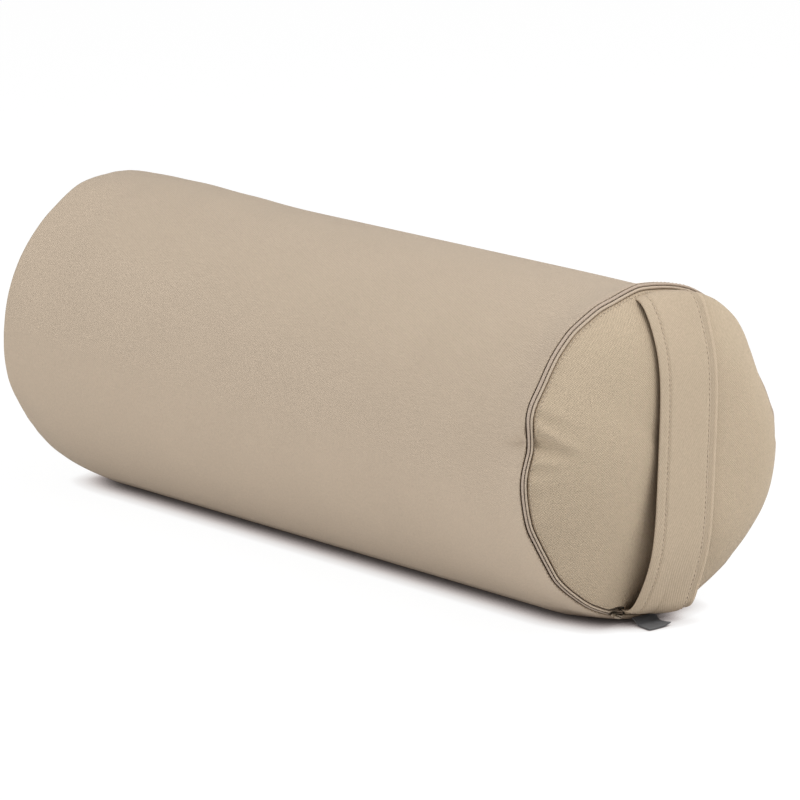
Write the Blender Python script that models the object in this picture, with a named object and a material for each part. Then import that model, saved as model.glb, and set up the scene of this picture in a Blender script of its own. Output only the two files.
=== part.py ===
"""A round yoga bolster: a zipped twill cover, a carry strap, an inner liner and its filling.

The bolster lies along X on the floor, z = 0. The zip and the strap are on the +X end.
Lengths are in metres. Angles round the bolster start at the top and grow towards -Y.
"""
import math

import bmesh
import bpy
from mathutils import Matrix, Vector

# Overall form
SEAM_TO_SEAM = 0.577
SEAM_RADIUS = 0.109
SEAM_LIFT = 0.0048
SIDE_SWELL = 0.0001
CROWN_SWELL = 0.003
FLATTENING = 0.0052
END_ROUNDING = 0.052
SHOULDER_BACK = 0.0045
SHOULDER_RISE = 0.0034
SHOULDER_REACH = 0.030
DOME_DEPTH = 0.028
DOME_POWER = 2.2

# Cloth and clearances
CLOTH = 0.0009
LINER_CLOTH = 0.0005
GAP = 0.0003
LINER_EASE = 0.0015
LINER_TUCK = 0.0068
LINER_SHORTER = 0.0065
LINER_SHOULDER = 0.020

# Zip. Its face is turned from straight outwards towards the end of the bolster.
ZIP_TILT = math.radians(55)
CHAIN_LENGTH = 0.480
COIL_PITCH = 0.004
COIL_REACH = 0.0007
COIL_BACK = 0.0017
COIL_DEPTH = 0.00125
COIL_CLEARANCE = 0.0004
TAPE = 0.0004
TAPE_BAND = 0.008
SLIT = 0.0010
BEAD_WIDTH = 0.0021
BEAD_RISE = 0.00095
BEAD_DEPTH = 0.0015
STOP_LENGTH = 0.0028
TAPE_TAIL = 0.0012
SLIDER_ANGLE = math.radians(162.5)
SLIDER_LENGTH = 0.009
POST = 0.0006
PLATE = 0.0006
SLIDER_WALL = 0.0004
RUNNING = 0.0002

# Zip pull
PIN_RADIUS = 0.0003
BAIL_WIDTH = 0.0016
BAIL_BAR = 0.0006
BAIL_LEG = 0.0009
RING_RADIUS = 0.0015
RING_HOLE = 0.0007
RING_CENTRE = 0.0036
RING_THICKNESS = 0.0007
ARM_WIDTH = 0.00055

# Carry strap
STRAP_WIDTH = 0.050
STRAP_THICKNESS = 0.0024
STRAP_STANDOFF = 0.0065
STRAP_POWER = 3.0
STRAP_ARCH_POWER = 4.0
STRAP_SEAM_STEP = 0.0011
STRAP_TURN = math.radians(3.6)
STRAP_SHIFT = 0.002

# Woven tag
TAG_WIDTH = 0.019
TAG_THICKNESS = 0.0008
TAG_REACH = 0.019
TAG_FALL = 0.008
TAG_SHIFT = 0.0083
TAG_SKEW = 0.002
TAG_ROOT = 0.0003
TAG_REST = 0.0001

# How finely the round forms are divided
ARC_STEP = math.radians(7.6)
DOME_SHARES = (0.94, 0.82, 0.64, 0.4, 0.0)
ROUNDING_SHARES = (0.2, 0.45, 0.72, 1.0)
STRAP_STEPS = 26
STRAP_COLUMNS = 4
TAG_STEPS = 8
PIN_SIDES = 10
RING_SIDES = 16

# Places that follow from the sizes
SEAM_X = SEAM_TO_SEAM / 2
RING_Z = SEAM_LIFT + SEAM_RADIUS
BODY_MIDDLE_Z = SEAM_RADIUS + CROWN_SWELL - FLATTENING
BEAD_INNER = SLIT / 2
BEAD_OUTER = BEAD_INNER + BEAD_WIDTH
ZIP_EDGE = BEAD_OUTER + GAP
PLAIN_EDGE = GAP / 2


def turn_for(length):
    """The angle that a length takes up along the seam."""
    return length / SEAM_RADIUS


SLIDER_REAR = SLIDER_ANGLE - turn_for(SLIDER_LENGTH / 2)
SLIDER_NOSE = SLIDER_ANGLE + turn_for(SLIDER_LENGTH / 2)
CHAIN_START = SLIDER_REAR - turn_for(GAP)
CHAIN_END = CHAIN_START - turn_for(CHAIN_LENGTH)
TOP_STOP_START = SLIDER_NOSE + turn_for(GAP)
TOP_STOP_END = TOP_STOP_START + turn_for(STOP_LENGTH)
BOTTOM_STOP_START = CHAIN_END - turn_for(GAP)
BOTTOM_STOP_END = BOTTOM_STOP_START - turn_for(STOP_LENGTH)
TAPE_START = TOP_STOP_END + turn_for(TAPE_TAIL)
TAPE_END = BOTTOM_STOP_END - turn_for(TAPE_TAIL)
SEAM_CHANGE = turn_for(0.003)

CHORD_DIP = SEAM_RADIUS * (1 - math.cos(ARC_STEP / 2))
UNDER_CLOTH = CLOTH + GAP + CHORD_DIP
BAND_ROOT = BEAD_OUTER * 0.8
RIM_ALONG = ZIP_EDGE * math.cos(ZIP_TILT)
RIM_RADIUS = SEAM_RADIUS - ZIP_EDGE * math.sin(ZIP_TILT)
EDGE_RISE = ZIP_EDGE * math.sin(ZIP_TILT)
COIL_TOP = -UNDER_CLOTH - TAPE - GAP
COIL_BOTTOM = COIL_TOP - COIL_DEPTH
INNER_PLATE_TOP = COIL_BOTTOM - GAP
INNER_PLATE_BOTTOM = INNER_PLATE_TOP - PLATE
OUTER_PLATE_BOTTOM = BEAD_RISE + GAP
OUTER_PLATE_TOP = OUTER_PLATE_BOTTOM + PLATE
PIN_HEIGHT = OUTER_PLATE_TOP + PIN_RADIUS + 2 * RUNNING
BAIL_INSIDE = PIN_HEIGHT + PIN_RADIUS + RUNNING
BAIL_TOP = BAIL_INSIDE + BAIL_BAR
PLATE_HALF = SLIDER_LENGTH * 0.44
PULL_DROP = math.asin((PIN_HEIGHT - RING_THICKNESS / 2 - OUTER_PLATE_TOP - RUNNING) / PLATE_HALF)


def clear_scene():
    for found in list(bpy.data.objects):
        bpy.data.objects.remove(found)


def finish_material(name, colour, roughness, metallic=0.0):
    material = bpy.data.materials.new(name)
    material.use_nodes = True
    shader = material.node_tree.nodes["Principled BSDF"]
    shader.inputs["Base Color"].default_value = (*colour, 1)
    shader.inputs["Roughness"].default_value = roughness
    shader.inputs["Metallic"].default_value = metallic
    return material


def object_from(name, mesh_maker, material, sharp=math.radians(35)):
    """An object from a closed mesh in a bmesh, with its faces turned outwards."""
    bmesh.ops.recalc_face_normals(mesh_maker, faces=mesh_maker.faces)
    mesh = bpy.data.meshes.new(name)
    mesh_maker.to_mesh(mesh)
    mesh_maker.free()
    mesh.shade_smooth()
    mesh.set_sharp_from_angle(angle=sharp)
    mesh.materials.append(material)
    made = bpy.data.objects.new(name, mesh)
    bpy.context.scene.collection.objects.link(made)
    return made


def add_rows(mesh_maker, rows):
    return [[mesh_maker.verts.new(point) for point in row] for row in rows]


def skin(mesh_maker, rows, closed=True):
    """Faces between neighbouring rows of vertices. A row of one vertex is a pole."""
    for first, second in zip(rows, rows[1:]):
        count = max(len(first), len(second))
        for start in range(count if closed else count - 1):
            end = (start + 1) % count
            corners = (
                first[start % len(first)],
                first[end % len(first)],
                second[end % len(second)],
                second[start % len(second)],
            )
            mesh_maker.faces.new(dict.fromkeys(corners))


def cloth_shell(name, outer, inner, material):
    """A cloth panel between an outer and an inner surface, joined round its open edges."""
    mesh_maker = bmesh.new()
    outer_rows = add_rows(mesh_maker, outer)
    inner_rows = add_rows(mesh_maker, inner)
    skin(mesh_maker, outer_rows)
    skin(mesh_maker, inner_rows)
    skin(mesh_maker, [outer_rows[0], inner_rows[0]])
    if len(outer_rows[-1]) > 1:
        skin(mesh_maker, [outer_rows[-1], inner_rows[-1]])
    return object_from(name, mesh_maker, material)


def swept_solid(name, sections, material):
    """A solid through closed sections, with a face over its first and its last."""
    mesh_maker = bmesh.new()
    rows = add_rows(mesh_maker, sections)
    skin(mesh_maker, rows)
    mesh_maker.faces.new(rows[0])
    mesh_maker.faces.new(reversed(rows[-1]))
    return object_from(name, mesh_maker, material)


def prism(name, outline, place, low, high, material):
    """A straight solid: place puts each point of the outline at the depths low and high."""
    sections = [[place(point, depth) for point in outline] for depth in (low, high)]
    return swept_solid(name, sections, material)


def union(target, others):
    """Joins others to the target with Booleans. The others stay as hidden helpers."""
    for other in others:
        other.hide_render = True
        other.display_type = "WIRE"
        other.name = other.name + "_helper"
        join = target.modifiers.new(other.name, "BOOLEAN")
        join.operation = "UNION"
        join.solver = "EXACT"
        join.object = other
    return target


def arc_angles(start, end, longest_step=ARC_STEP):
    steps = max(1, math.ceil(abs(end - start) / longest_step - 1e-6))
    return [start + (end - start) * step / steps for step in range(steps + 1)]


def ring_point(angle, along, out):
    """A point near the zip end's seam, by its offsets along the bolster and outwards."""
    radius = SEAM_RADIUS + out
    x = SEAM_X + along
    return Vector((x, -radius * math.sin(angle), RING_Z + radius * math.cos(angle)))


def zip_offset(across, proud):
    """Offsets along the bolster and outwards of a point on the zip's tilted face."""
    along = across * math.cos(ZIP_TILT) + proud * math.sin(ZIP_TILT)
    out = proud * math.cos(ZIP_TILT) - across * math.sin(ZIP_TILT)
    return along, out


def zip_point(angle, across, proud):
    """A point by its distance across the zip towards the end, and proud of its face."""
    return ring_point(angle, *zip_offset(across, proud))


def shoulder_rise(back):
    """How far the cloth swells past the seam's radius, at a distance back from the zip."""
    if back < SHOULDER_BACK:
        share = (SHOULDER_BACK - back) / (SHOULDER_BACK - RIM_ALONG)
        return SHOULDER_RISE - (SHOULDER_RISE - EDGE_RISE) * share**2
    share = min(1.0, (back - SHOULDER_BACK) / SHOULDER_REACH)
    return SHOULDER_RISE * (1 + math.cos(math.pi * share)) / 2


def body_point(angle, x, inset):
    """A point on the body at x: round at the seams, lower and flattened underneath between."""
    share = math.sin(math.pi / 2 * min(1.0, (SEAM_X - abs(x)) / END_ROUNDING))
    shoulder = shoulder_rise(SEAM_X - x)
    half_width = SEAM_RADIUS + SIDE_SWELL * share + shoulder - inset
    half_height = SEAM_RADIUS + CROWN_SWELL * share + shoulder - inset
    middle = RING_Z + (BODY_MIDDLE_Z - RING_Z) * share
    height = middle + half_height * math.cos(angle)
    return Vector((x, -half_width * math.sin(angle), max(height, inset)))


def dome_along(radius):
    """How far the end panel stands out from the seam at a radius from its middle."""
    return RIM_ALONG + (DOME_DEPTH - RIM_ALONG) * (1 - (radius / RIM_RADIUS) ** DOME_POWER)


def seam_angles():
    """Angles round the bolster, with lines at the zip's ends and close beside them."""
    zipped = arc_angles(TAPE_START, TAPE_END)
    plain_start = TAPE_END - SEAM_CHANGE
    plain_end = TAPE_START - 2 * math.pi + SEAM_CHANGE
    return zipped, arc_angles(plain_start, plain_end)


def cover_edges():
    """Pairs of an angle and how far the cloth's edge stays from the seam's line there."""
    zipped, plain = seam_angles()
    return [(angle, ZIP_EDGE) for angle in zipped] + [(angle, PLAIN_EDGE) for angle in plain]


def mirrored(point):
    """The same point at the other end of the bolster."""
    return Vector((-point.x, point.y, point.z))


def cover_body_panel(material):
    edges = cover_edges()
    rounding = [SEAM_X - share * END_ROUNDING for share in ROUNDING_SHARES]
    shoulder = [SEAM_X - share * SHOULDER_BACK for share in (0.65, 1.0)]
    stations = shoulder + rounding + [0.0] + [-x for x in reversed(rounding)]

    def rows(inset):
        zip_end = [zip_point(angle, -edge, -inset) for angle, edge in edges]
        middle = [[body_point(angle, x, inset) for angle, _ in edges] for x in stations]
        plain_end = [mirrored(zip_point(angle, -PLAIN_EDGE, -inset)) for angle, _ in edges]
        return [zip_end] + middle + [plain_end]

    return cloth_shell("cover_body_panel", rows(0.0), rows(CLOTH), material)


def dome_rows(edges, inset):
    """Rows of a domed end panel's surface, from its edge to its middle."""
    rows = [[zip_point(angle, edge, -inset) for angle, edge in edges]]
    for share in DOME_SHARES:
        radius = RIM_RADIUS * share
        along = dome_along(radius) - inset
        row = [ring_point(angle, along, radius - SEAM_RADIUS) for angle, _ in edges]
        rows.append(row if share else row[:1])
    return rows


def cover_end_panels(material):
    zip_edges = cover_edges()
    cloth_shell(
        "cover_zip_end_panel", dome_rows(zip_edges, 0.0), dome_rows(zip_edges, CLOTH), material
    )
    plain_edges = [(angle, PLAIN_EDGE) for angle, _ in zip_edges]
    outer, inner = (
        [[mirrored(point) for point in row] for row in dome_rows(plain_edges, inset)]
        for inset in (0.0, CLOTH)
    )
    cloth_shell("cover_plain_end_panel", outer, inner, material)


def bead_outline():
    """The rolled edge of a tape: offsets from the slit, and outwards from the seam."""
    shoulder = BEAD_RISE * 0.84
    return (
        (BEAD_INNER, -BEAD_DEPTH),
        (BEAD_INNER, BEAD_RISE * 0.2),
        (BEAD_INNER + BEAD_WIDTH * 0.22, shoulder),
        (BEAD_INNER + BEAD_WIDTH * 0.5, BEAD_RISE),
        (BEAD_INNER + BEAD_WIDTH * 0.78, shoulder),
        (BEAD_OUTER, BEAD_RISE * 0.2),
    )


def body_band(angle, root, depth):
    """Points across the body side's tape, from its root at the rolled edge."""
    return [
        zip_point(angle, -root, -depth),
        body_point(angle, SEAM_X - SHOULDER_BACK, depth),
        body_point(angle, SEAM_X - SHOULDER_BACK - TAPE_BAND, depth),
    ]


def end_band(angle, root, depth):
    """Points across the end side's tape, from its root at the rolled edge."""
    radius = RIM_RADIUS - TAPE_BAND
    return [
        zip_point(angle, root, -depth),
        ring_point(angle, dome_along(radius) - depth, radius - SEAM_RADIUS),
    ]


def zip_tape(name, side, band, material):
    """A tape: the rolled edge beside the slit, and the flat band sewn behind the cloth."""
    angles = seam_angles()[0]
    halfway = [(first + second) / 2 for first, second in zip(angles, angles[1:])]
    sections = []
    for angle in sorted(angles + halfway):
        bead = [zip_point(angle, side * across, proud) for across, proud in bead_outline()]
        outer = band(angle, BEAD_OUTER, UNDER_CLOTH)
        inner = band(angle, BAND_ROOT, UNDER_CLOTH + TAPE)
        sections.append(bead + outer + inner[::-1])
    swept_solid(name, sections, material)


def zip_tapes(material):
    zip_tape("zip_tape_body_side", -1, body_band, material)
    zip_tape("zip_tape_end_side", 1, end_band, material)


def coil_sections(side):
    """Sections of a row of teeth. The other row's tips fill this row's hollows."""
    teeth = int(CHAIN_LENGTH // COIL_PITCH)
    hollow = COIL_REACH + COIL_CLEARANCE
    sections = []
    for step in range(2 * teeth + 1):
        angle = CHAIN_START - turn_for(step * COIL_PITCH / 2)
        at_tip = (step % 2 == 0) == (side > 0)
        face = side * (-COIL_REACH if at_tip else hollow)
        back = side * COIL_BACK
        sections.append(
            [
                zip_point(angle, back, COIL_BOTTOM),
                zip_point(angle, back, COIL_TOP),
                zip_point(angle, face, COIL_TOP),
                zip_point(angle, face, COIL_BOTTOM),
            ]
        )
    return sections


def zip_coils(material):
    swept_solid("zip_coil_body_side", coil_sections(-1), material)
    swept_solid("zip_coil_end_side", coil_sections(1), material)


def zip_stop(name, start, end, low, high, material):
    """A metal clamp on the chain's line, between two angles and two places across it."""
    outline = rectangle(low, high, COIL_BOTTOM, COIL_TOP)
    sections = [[zip_point(angle, *corner) for corner in outline] for angle in (start, end)]
    return swept_solid(name, sections, material)


def zip_stops(material):
    inner = POST / 2 + RUNNING
    zip_stop("zip_top_stop_body_side", TOP_STOP_START, TOP_STOP_END, -COIL_BACK, -inner, material)
    zip_stop("zip_top_stop_end_side", TOP_STOP_START, TOP_STOP_END, inner, COIL_BACK, material)
    zip_stop("zip_bottom_stop", BOTTOM_STOP_START, BOTTOM_STOP_END, -COIL_BACK, COIL_BACK, material)


def slider_frame():
    """An empty on the seam ring's axis, turned so that its Z points out at the slider."""
    frame = bpy.data.objects.new("zip_slider_axis", None)
    frame.location = (SEAM_X, 0, RING_Z)
    frame.rotation_euler = (SLIDER_ANGLE, 0, 0)
    bpy.context.scene.collection.objects.link(frame)
    return frame


def boat_outline(length, half_width, rear_share, nose_share):
    """A slider plate seen from above, symmetric across the zip, narrow at its nose."""
    half = length / 2
    side = (
        (half_width * rear_share, half),
        (half_width, half * 0.5),
        (half_width, -half * 0.4),
        (half_width * nose_share, -half),
    )
    return side + tuple((-along, travel) for along, travel in reversed(side))


def slider_point(across, travel, proud):
    """A point in the slider's frame, from the zip's own directions."""
    along, out = zip_offset(across, proud)
    return Vector((along, travel, SEAM_RADIUS + out))


def flat_place(point, proud):
    """For an outline seen from in front of the zip."""
    return slider_point(point[0], point[1], proud)


def side_place(point, across):
    """For an outline seen from the zip's side."""
    return slider_point(across, point[0], point[1])


def rectangle(first_low, first_high, second_low, second_high):
    return (
        (first_low, second_low),
        (first_high, second_low),
        (first_high, second_high),
        (first_low, second_high),
    )


def zip_slider(frame, material):
    """The slider: a channel under the coils, a post through the slit, a plate and a bail."""
    bite = PLATE / 4
    channel = COIL_BACK + RUNNING
    half_width = channel + SLIDER_WALL
    body = prism(
        "zip_slider", boat_outline(SLIDER_LENGTH, half_width, 0.85, 0.6), flat_place,
        INNER_PLATE_BOTTOM, INNER_PLATE_TOP, material,
    )
    pieces = []
    wall_end = SLIDER_LENGTH * 0.22
    for side in (-1, 1):
        wall = rectangle(side * channel, side * half_width, -SLIDER_LENGTH * 0.19, wall_end)
        pieces.append(
            prism(
                "zip_slider_wall", wall, flat_place,
                INNER_PLATE_TOP - bite, COIL_TOP - COIL_DEPTH / 2, material,
            )
        )
        leg = rectangle(
            side * (PIN_RADIUS + 2 * RUNNING), side * (PIN_RADIUS + 2 * RUNNING + BAIL_LEG),
            OUTER_PLATE_TOP - bite, BAIL_TOP - bite,
        )
        pieces.append(
            prism("zip_slider_leg", leg, side_place, -BAIL_WIDTH / 2, BAIL_WIDTH / 2, material)
        )
    post = (
        (0.0, SLIDER_LENGTH * 0.3),
        (POST / 2, SLIDER_LENGTH * 0.2),
        (POST / 2, -SLIDER_LENGTH * 0.22),
        (-POST / 2, -SLIDER_LENGTH * 0.22),
        (-POST / 2, SLIDER_LENGTH * 0.2),
    )
    pieces.append(
        prism(
            "zip_slider_post", post, flat_place,
            INNER_PLATE_TOP - bite, OUTER_PLATE_BOTTOM + bite, material,
        )
    )
    pieces.append(
        prism(
            "zip_slider_plate", boat_outline(2 * PLATE_HALF, BEAD_WIDTH * 0.6, 0.6, 0.5),
            flat_place, OUTER_PLATE_BOTTOM, OUTER_PLATE_TOP, material,
        )
    )
    bar_half = PIN_RADIUS + 2 * RUNNING + BAIL_LEG * 0.8
    bar = (
        (-bar_half, BAIL_INSIDE),
        (bar_half, BAIL_INSIDE),
        (bar_half * 0.7, BAIL_TOP),
        (-bar_half * 0.7, BAIL_TOP),
    )
    pieces.append(
        prism("zip_slider_bar", bar, side_place, -BAIL_WIDTH / 2, BAIL_WIDTH / 2, material)
    )
    for piece in [body] + pieces:
        piece.parent = frame
    return union(body, pieces)


def circle(radius, sides, centre=(0.0, 0.0)):
    turns = [2 * math.pi * step / sides for step in range(sides)]
    return [
        (centre[0] + radius * math.cos(turn), centre[1] + radius * math.sin(turn))
        for turn in turns
    ]


def zip_pull(frame, material):
    """A small ring on two arms that turn on a pin in the bail, lying along the chain."""
    hinge = bpy.data.objects.new("zip_pull_axis", None)
    pin_line = slider_point(1, 0, 0) - slider_point(0, 0, 0)
    lying = Vector((0, -1, 0))
    facing = lying.cross(pin_line)
    arms = lying * math.cos(PULL_DROP) - facing * math.sin(PULL_DROP)
    turn = Matrix((pin_line, arms.cross(pin_line), arms)).transposed()
    hinge.matrix_local = Matrix.LocRotScale(slider_point(0, 0, PIN_HEIGHT), turn, None)
    hinge.parent = frame
    bpy.context.scene.collection.objects.link(hinge)

    def across(point, depth):
        return Vector((point[0], depth, point[1]))

    def along(point, depth):
        return Vector((depth, point[0], point[1]))

    arm_inner = BAIL_WIDTH / 2 + RUNNING
    arm_outer = arm_inner + ARM_WIDTH
    pin = prism(
        "zip_pull_tab", circle(PIN_RADIUS, PIN_SIDES), along, -arm_outer, arm_outer, material
    )
    pieces = []
    for side in (-1, 1):
        arm = rectangle(side * arm_inner, side * arm_outer, -PIN_RADIUS, RING_CENTRE)
        pieces.append(
            prism("zip_pull_arm", arm, across, -PIN_RADIUS, PIN_RADIUS, material)
        )
    outer = circle(RING_RADIUS, RING_SIDES, (0.0, RING_CENTRE))
    inner = circle(RING_HOLE, RING_SIDES, (0.0, RING_CENTRE))
    half = RING_THICKNESS / 2
    mesh_maker = bmesh.new()
    loops = add_rows(
        mesh_maker,
        [
            [across(point, depth) for point in outline]
            for outline, depth in ((outer, -half), (outer, half), (inner, half), (inner, -half))
        ],
    )
    skin(mesh_maker, loops + loops[:1])
    pieces.append(object_from("zip_pull_ring", mesh_maker, material))
    for piece in [pin] + pieces:
        piece.parent = hinge
    return union(pin, pieces)


def carry_strap(material):
    """A folded band bowed over the domed end, its ends laid along the seam's curve."""
    start = RIM_ALONG + STRAP_SEAM_STEP
    rim_share = 1 - STRAP_SEAM_STEP / (DOME_DEPTH - RIM_ALONG)
    end_height = RIM_RADIUS * rim_share ** (1 / DOME_POWER) + GAP
    bow = DOME_DEPTH + STRAP_STANDOFF - start
    columns = [
        STRAP_WIDTH * (column / STRAP_COLUMNS - 0.5) for column in range(STRAP_COLUMNS + 1)
    ]

    def place(along, height, across, share):
        reach = across + STRAP_SHIFT
        arch = end_height - math.sqrt(end_height**2 - reach**2)
        height -= math.copysign(arch * abs(share) ** STRAP_ARCH_POWER, share)
        y = STRAP_SHIFT + across * math.cos(STRAP_TURN) + height * math.sin(STRAP_TURN)
        z = RING_Z + height * math.cos(STRAP_TURN) - across * math.sin(STRAP_TURN)
        return Vector((SEAM_X + along, y, z))

    sections = []
    for step in range(STRAP_STEPS + 1):
        share = math.cos(math.pi * step / STRAP_STEPS)
        height = end_height * share
        along = start + bow * (1 - abs(share) ** STRAP_POWER)
        lean = STRAP_POWER * bow / end_height * math.copysign(abs(share) ** (STRAP_POWER - 1), share)
        normal = Vector((1, lean)).normalized() * STRAP_THICKNESS
        inner = [place(along, height, across, share) for across in columns]
        outer = [place(along + normal.x, height + normal.y, across, share) for across in columns]
        sections.append(inner + outer[::-1])
    return swept_solid("carry_strap", sections, material)


def woven_tag(material):
    """A folded label from under the strap's lower end, drooping to the floor."""
    top_at_root = SEAM_LIFT - GAP
    sections = []
    for step in range(TAG_STEPS + 1):
        reach = TAG_REACH * step / TAG_STEPS
        fall = min(1.0, reach / TAG_FALL)
        drop = (1 + math.cos(math.pi * fall)) / 2
        rest = TAG_REST + TAG_THICKNESS
        top = rest + (top_at_root - rest) * drop
        middle = -TAG_SHIFT - TAG_SKEW * reach / TAG_REACH
        x = SEAM_X + TAG_ROOT + reach
        corners = rectangle(
            middle - TAG_WIDTH / 2, middle + TAG_WIDTH / 2, top - TAG_THICKNESS, top
        )
        sections.append([Vector((x, y, z)) for y, z in corners])
    return swept_solid("woven_tag", sections, material)


def liner_inset(x, extra):
    """How far the liner lies inside the cover: snug along the body, tucked in at the seams."""
    snug = CLOTH + LINER_EASE
    inward = SEAM_X - abs(x) - LINER_SHORTER
    share = min(1.0, max(0.0, inward / (LINER_SHOULDER - LINER_SHORTER)))
    return LINER_TUCK + (snug - LINER_TUCK) * share + shoulder_rise(SEAM_X - x) + extra


def liner_stations():
    ends = (SEAM_X - LINER_SHORTER, SEAM_X - LINER_SHOULDER, SEAM_X - END_ROUNDING)
    return list(ends) + [-x for x in reversed(ends)]


def liner_angles():
    return arc_angles(math.pi, -math.pi, 1.5 * ARC_STEP)[:-1]


def liner_rows(stations, extra):
    angles = liner_angles()
    return [[body_point(angle, x, liner_inset(x, extra)) for angle in angles] for x in stations]


def liner_dome_rows(rim_row, crown_x, thickness):
    """Rows of a liner end's surface, drawn in from its rim row to one point."""
    rim_x = rim_row[0].x
    middle = sum(rim_row, Vector()) / len(rim_row)
    rise = crown_x - rim_x
    rim_share = (1 - thickness / abs(rise)) ** (1 / DOME_POWER)
    rows = []
    for share in (1.0, *DOME_SHARES[1::2], 0.0):
        drawn = share * rim_share
        x = rim_x + rise * (1 - drawn**DOME_POWER) - math.copysign(thickness, rise)
        row = [middle.lerp(point, drawn) for point in rim_row]
        row = [Vector((x, point.y, point.z)) for point in row]
        rows.append(row if share else row[:1])
    return rows


def inner_liner(cloth):
    stations = liner_stations()
    cloth_shell(
        "liner_body_panel", liner_rows(stations, 0.0), liner_rows(stations, LINER_CLOTH), cloth
    )
    crown = SEAM_X + DOME_DEPTH - CLOTH - LINER_EASE
    for name, side in (("liner_zip_end_panel", 1), ("liner_plain_end_panel", -1)):
        rim_x = side * (SEAM_X - LINER_SHORTER + GAP)
        rim = liner_rows([side * (SEAM_X - LINER_SHORTER)], 0.0)[0]
        rim = [Vector((rim_x, point.y, point.z)) for point in rim]
        outer = liner_dome_rows(rim, side * crown, 0.0)
        inner = liner_dome_rows(rim, side * crown, LINER_CLOTH)
        cloth_shell(name, outer, inner, cloth)


def filling(material):
    """The soft mass inside the liner, one solid that fills it end to end."""
    inside = LINER_CLOTH + GAP
    mesh_maker = bmesh.new()
    body = liner_rows(liner_stations(), inside)
    crown = SEAM_X + DOME_DEPTH - CLOTH - LINER_EASE - 2 * inside
    zip_dome = liner_dome_rows(body[0], crown, 0.0)
    plain_dome = liner_dome_rows(body[-1], -crown, 0.0)
    rows = add_rows(mesh_maker, zip_dome[:0:-1] + body + plain_dome[1:])
    skin(mesh_maker, rows)
    return object_from("filling", mesh_maker, material)


def main():
    clear_scene()
    twill = finish_material("beige_twill", (0.52, 0.42, 0.29), 0.9)
    strap_twill = finish_material("beige_strap_twill", (0.5, 0.4, 0.28), 0.9)
    tape = finish_material("beige_zip_tape", (0.5, 0.41, 0.3), 0.8)
    coil = finish_material("beige_nylon_coil", (0.42, 0.34, 0.24), 0.45)
    metal = finish_material("zip_metal", (0.4, 0.37, 0.33), 0.35, 1.0)
    tag = finish_material("charcoal_weave", (0.045, 0.045, 0.05), 0.8)
    calico = finish_material("natural_calico", (0.72, 0.67, 0.56), 0.95)
    fibre = finish_material("fibre_filling", (0.8, 0.76, 0.66), 1.0)

    cover_body_panel(twill)
    cover_end_panels(twill)
    carry_strap(strap_twill)
    zip_tapes(tape)
    zip_coils(coil)
    zip_stops(metal)
    frame = slider_frame()
    zip_slider(frame, metal)
    zip_pull(frame, metal)
    woven_tag(tag)
    inner_liner(calico)
    filling(fibre)


main()
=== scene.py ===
# %% [markdown]
# # A round yoga bolster
# The real thing is a tube of beige cotton twill with two domed ends, packed hard with
# fibre. One end opens with a zip, and a wide strap bows over that end as a handle.
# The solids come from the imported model, which is the fixed frame. This script adds what
# a solid can't say: cloth that puckers at its seams, a weave, stitches and soft light.

import math

import bmesh
import bpy
import numpy as np
from mathutils import Matrix, Vector


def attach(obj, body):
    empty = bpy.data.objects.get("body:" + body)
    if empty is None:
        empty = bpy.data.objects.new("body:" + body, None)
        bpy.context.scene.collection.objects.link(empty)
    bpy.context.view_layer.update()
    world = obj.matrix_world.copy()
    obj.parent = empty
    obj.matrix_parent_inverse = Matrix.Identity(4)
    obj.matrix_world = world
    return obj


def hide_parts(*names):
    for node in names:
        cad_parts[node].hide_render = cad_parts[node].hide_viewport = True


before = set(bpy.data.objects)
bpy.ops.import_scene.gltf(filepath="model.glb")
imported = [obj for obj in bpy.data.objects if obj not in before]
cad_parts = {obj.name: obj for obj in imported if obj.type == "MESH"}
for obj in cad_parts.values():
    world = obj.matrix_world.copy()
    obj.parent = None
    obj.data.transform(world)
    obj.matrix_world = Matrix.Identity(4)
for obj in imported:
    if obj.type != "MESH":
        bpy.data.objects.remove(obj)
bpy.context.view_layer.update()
print("nodes in the frame:", len(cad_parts))

# %% [markdown]
# ## The camera
# A photograph is matched by giving the camera the place, the turn and the lens that
# the real one had. It stood well back with a long lens, so the two ends of the bolster
# look almost equally large. Three angles and a distance from one target say it all.

# %% Camera
CAMERA_AZIMUTH = math.radians(50.8749)
CAMERA_ELEVATION = math.radians(13.1036)
CAMERA_ROLL = math.radians(-1.0882)
CAMERA_DISTANCE = 3.5889
CAMERA_TARGET = Vector((0.0304, 0.0, 0.1045))
LENS = 234.0
SENSOR = 36.0

camera = bpy.data.objects.new("camera", bpy.data.cameras.new("camera"))
bpy.context.scene.collection.objects.link(camera)
back = Vector((
    math.sin(CAMERA_AZIMUTH) * math.cos(CAMERA_ELEVATION),
    -math.cos(CAMERA_AZIMUTH) * math.cos(CAMERA_ELEVATION),
    math.sin(CAMERA_ELEVATION),
))
level = Vector((0, 0, 1)).cross(back).normalized()
upright = back.cross(level)
right = level * math.cos(CAMERA_ROLL) + upright * math.sin(CAMERA_ROLL)
up = upright * math.cos(CAMERA_ROLL) - level * math.sin(CAMERA_ROLL)
camera.matrix_world = Matrix.LocRotScale(
    CAMERA_TARGET + back * CAMERA_DISTANCE, Matrix((right, up, back)).transposed(), None
)
camera.data.lens = LENS
camera.data.sensor_width = SENSOR
bpy.context.scene.camera = camera
bpy.context.scene.view_settings.view_transform = "Standard"
print("camera at", [round(value, 3) for value in camera.location])

# %% [markdown]
# ## Node trees as expressions
# A material is a graph of small nodes, which is slow to read when each node takes five
# lines. Here a socket is wrapped in a class, so that `1 - mask * 0.3` adds the Math nodes
# by itself. Everything else comes from one method: a node's type, its settings, and what
# goes into its sockets.

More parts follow.
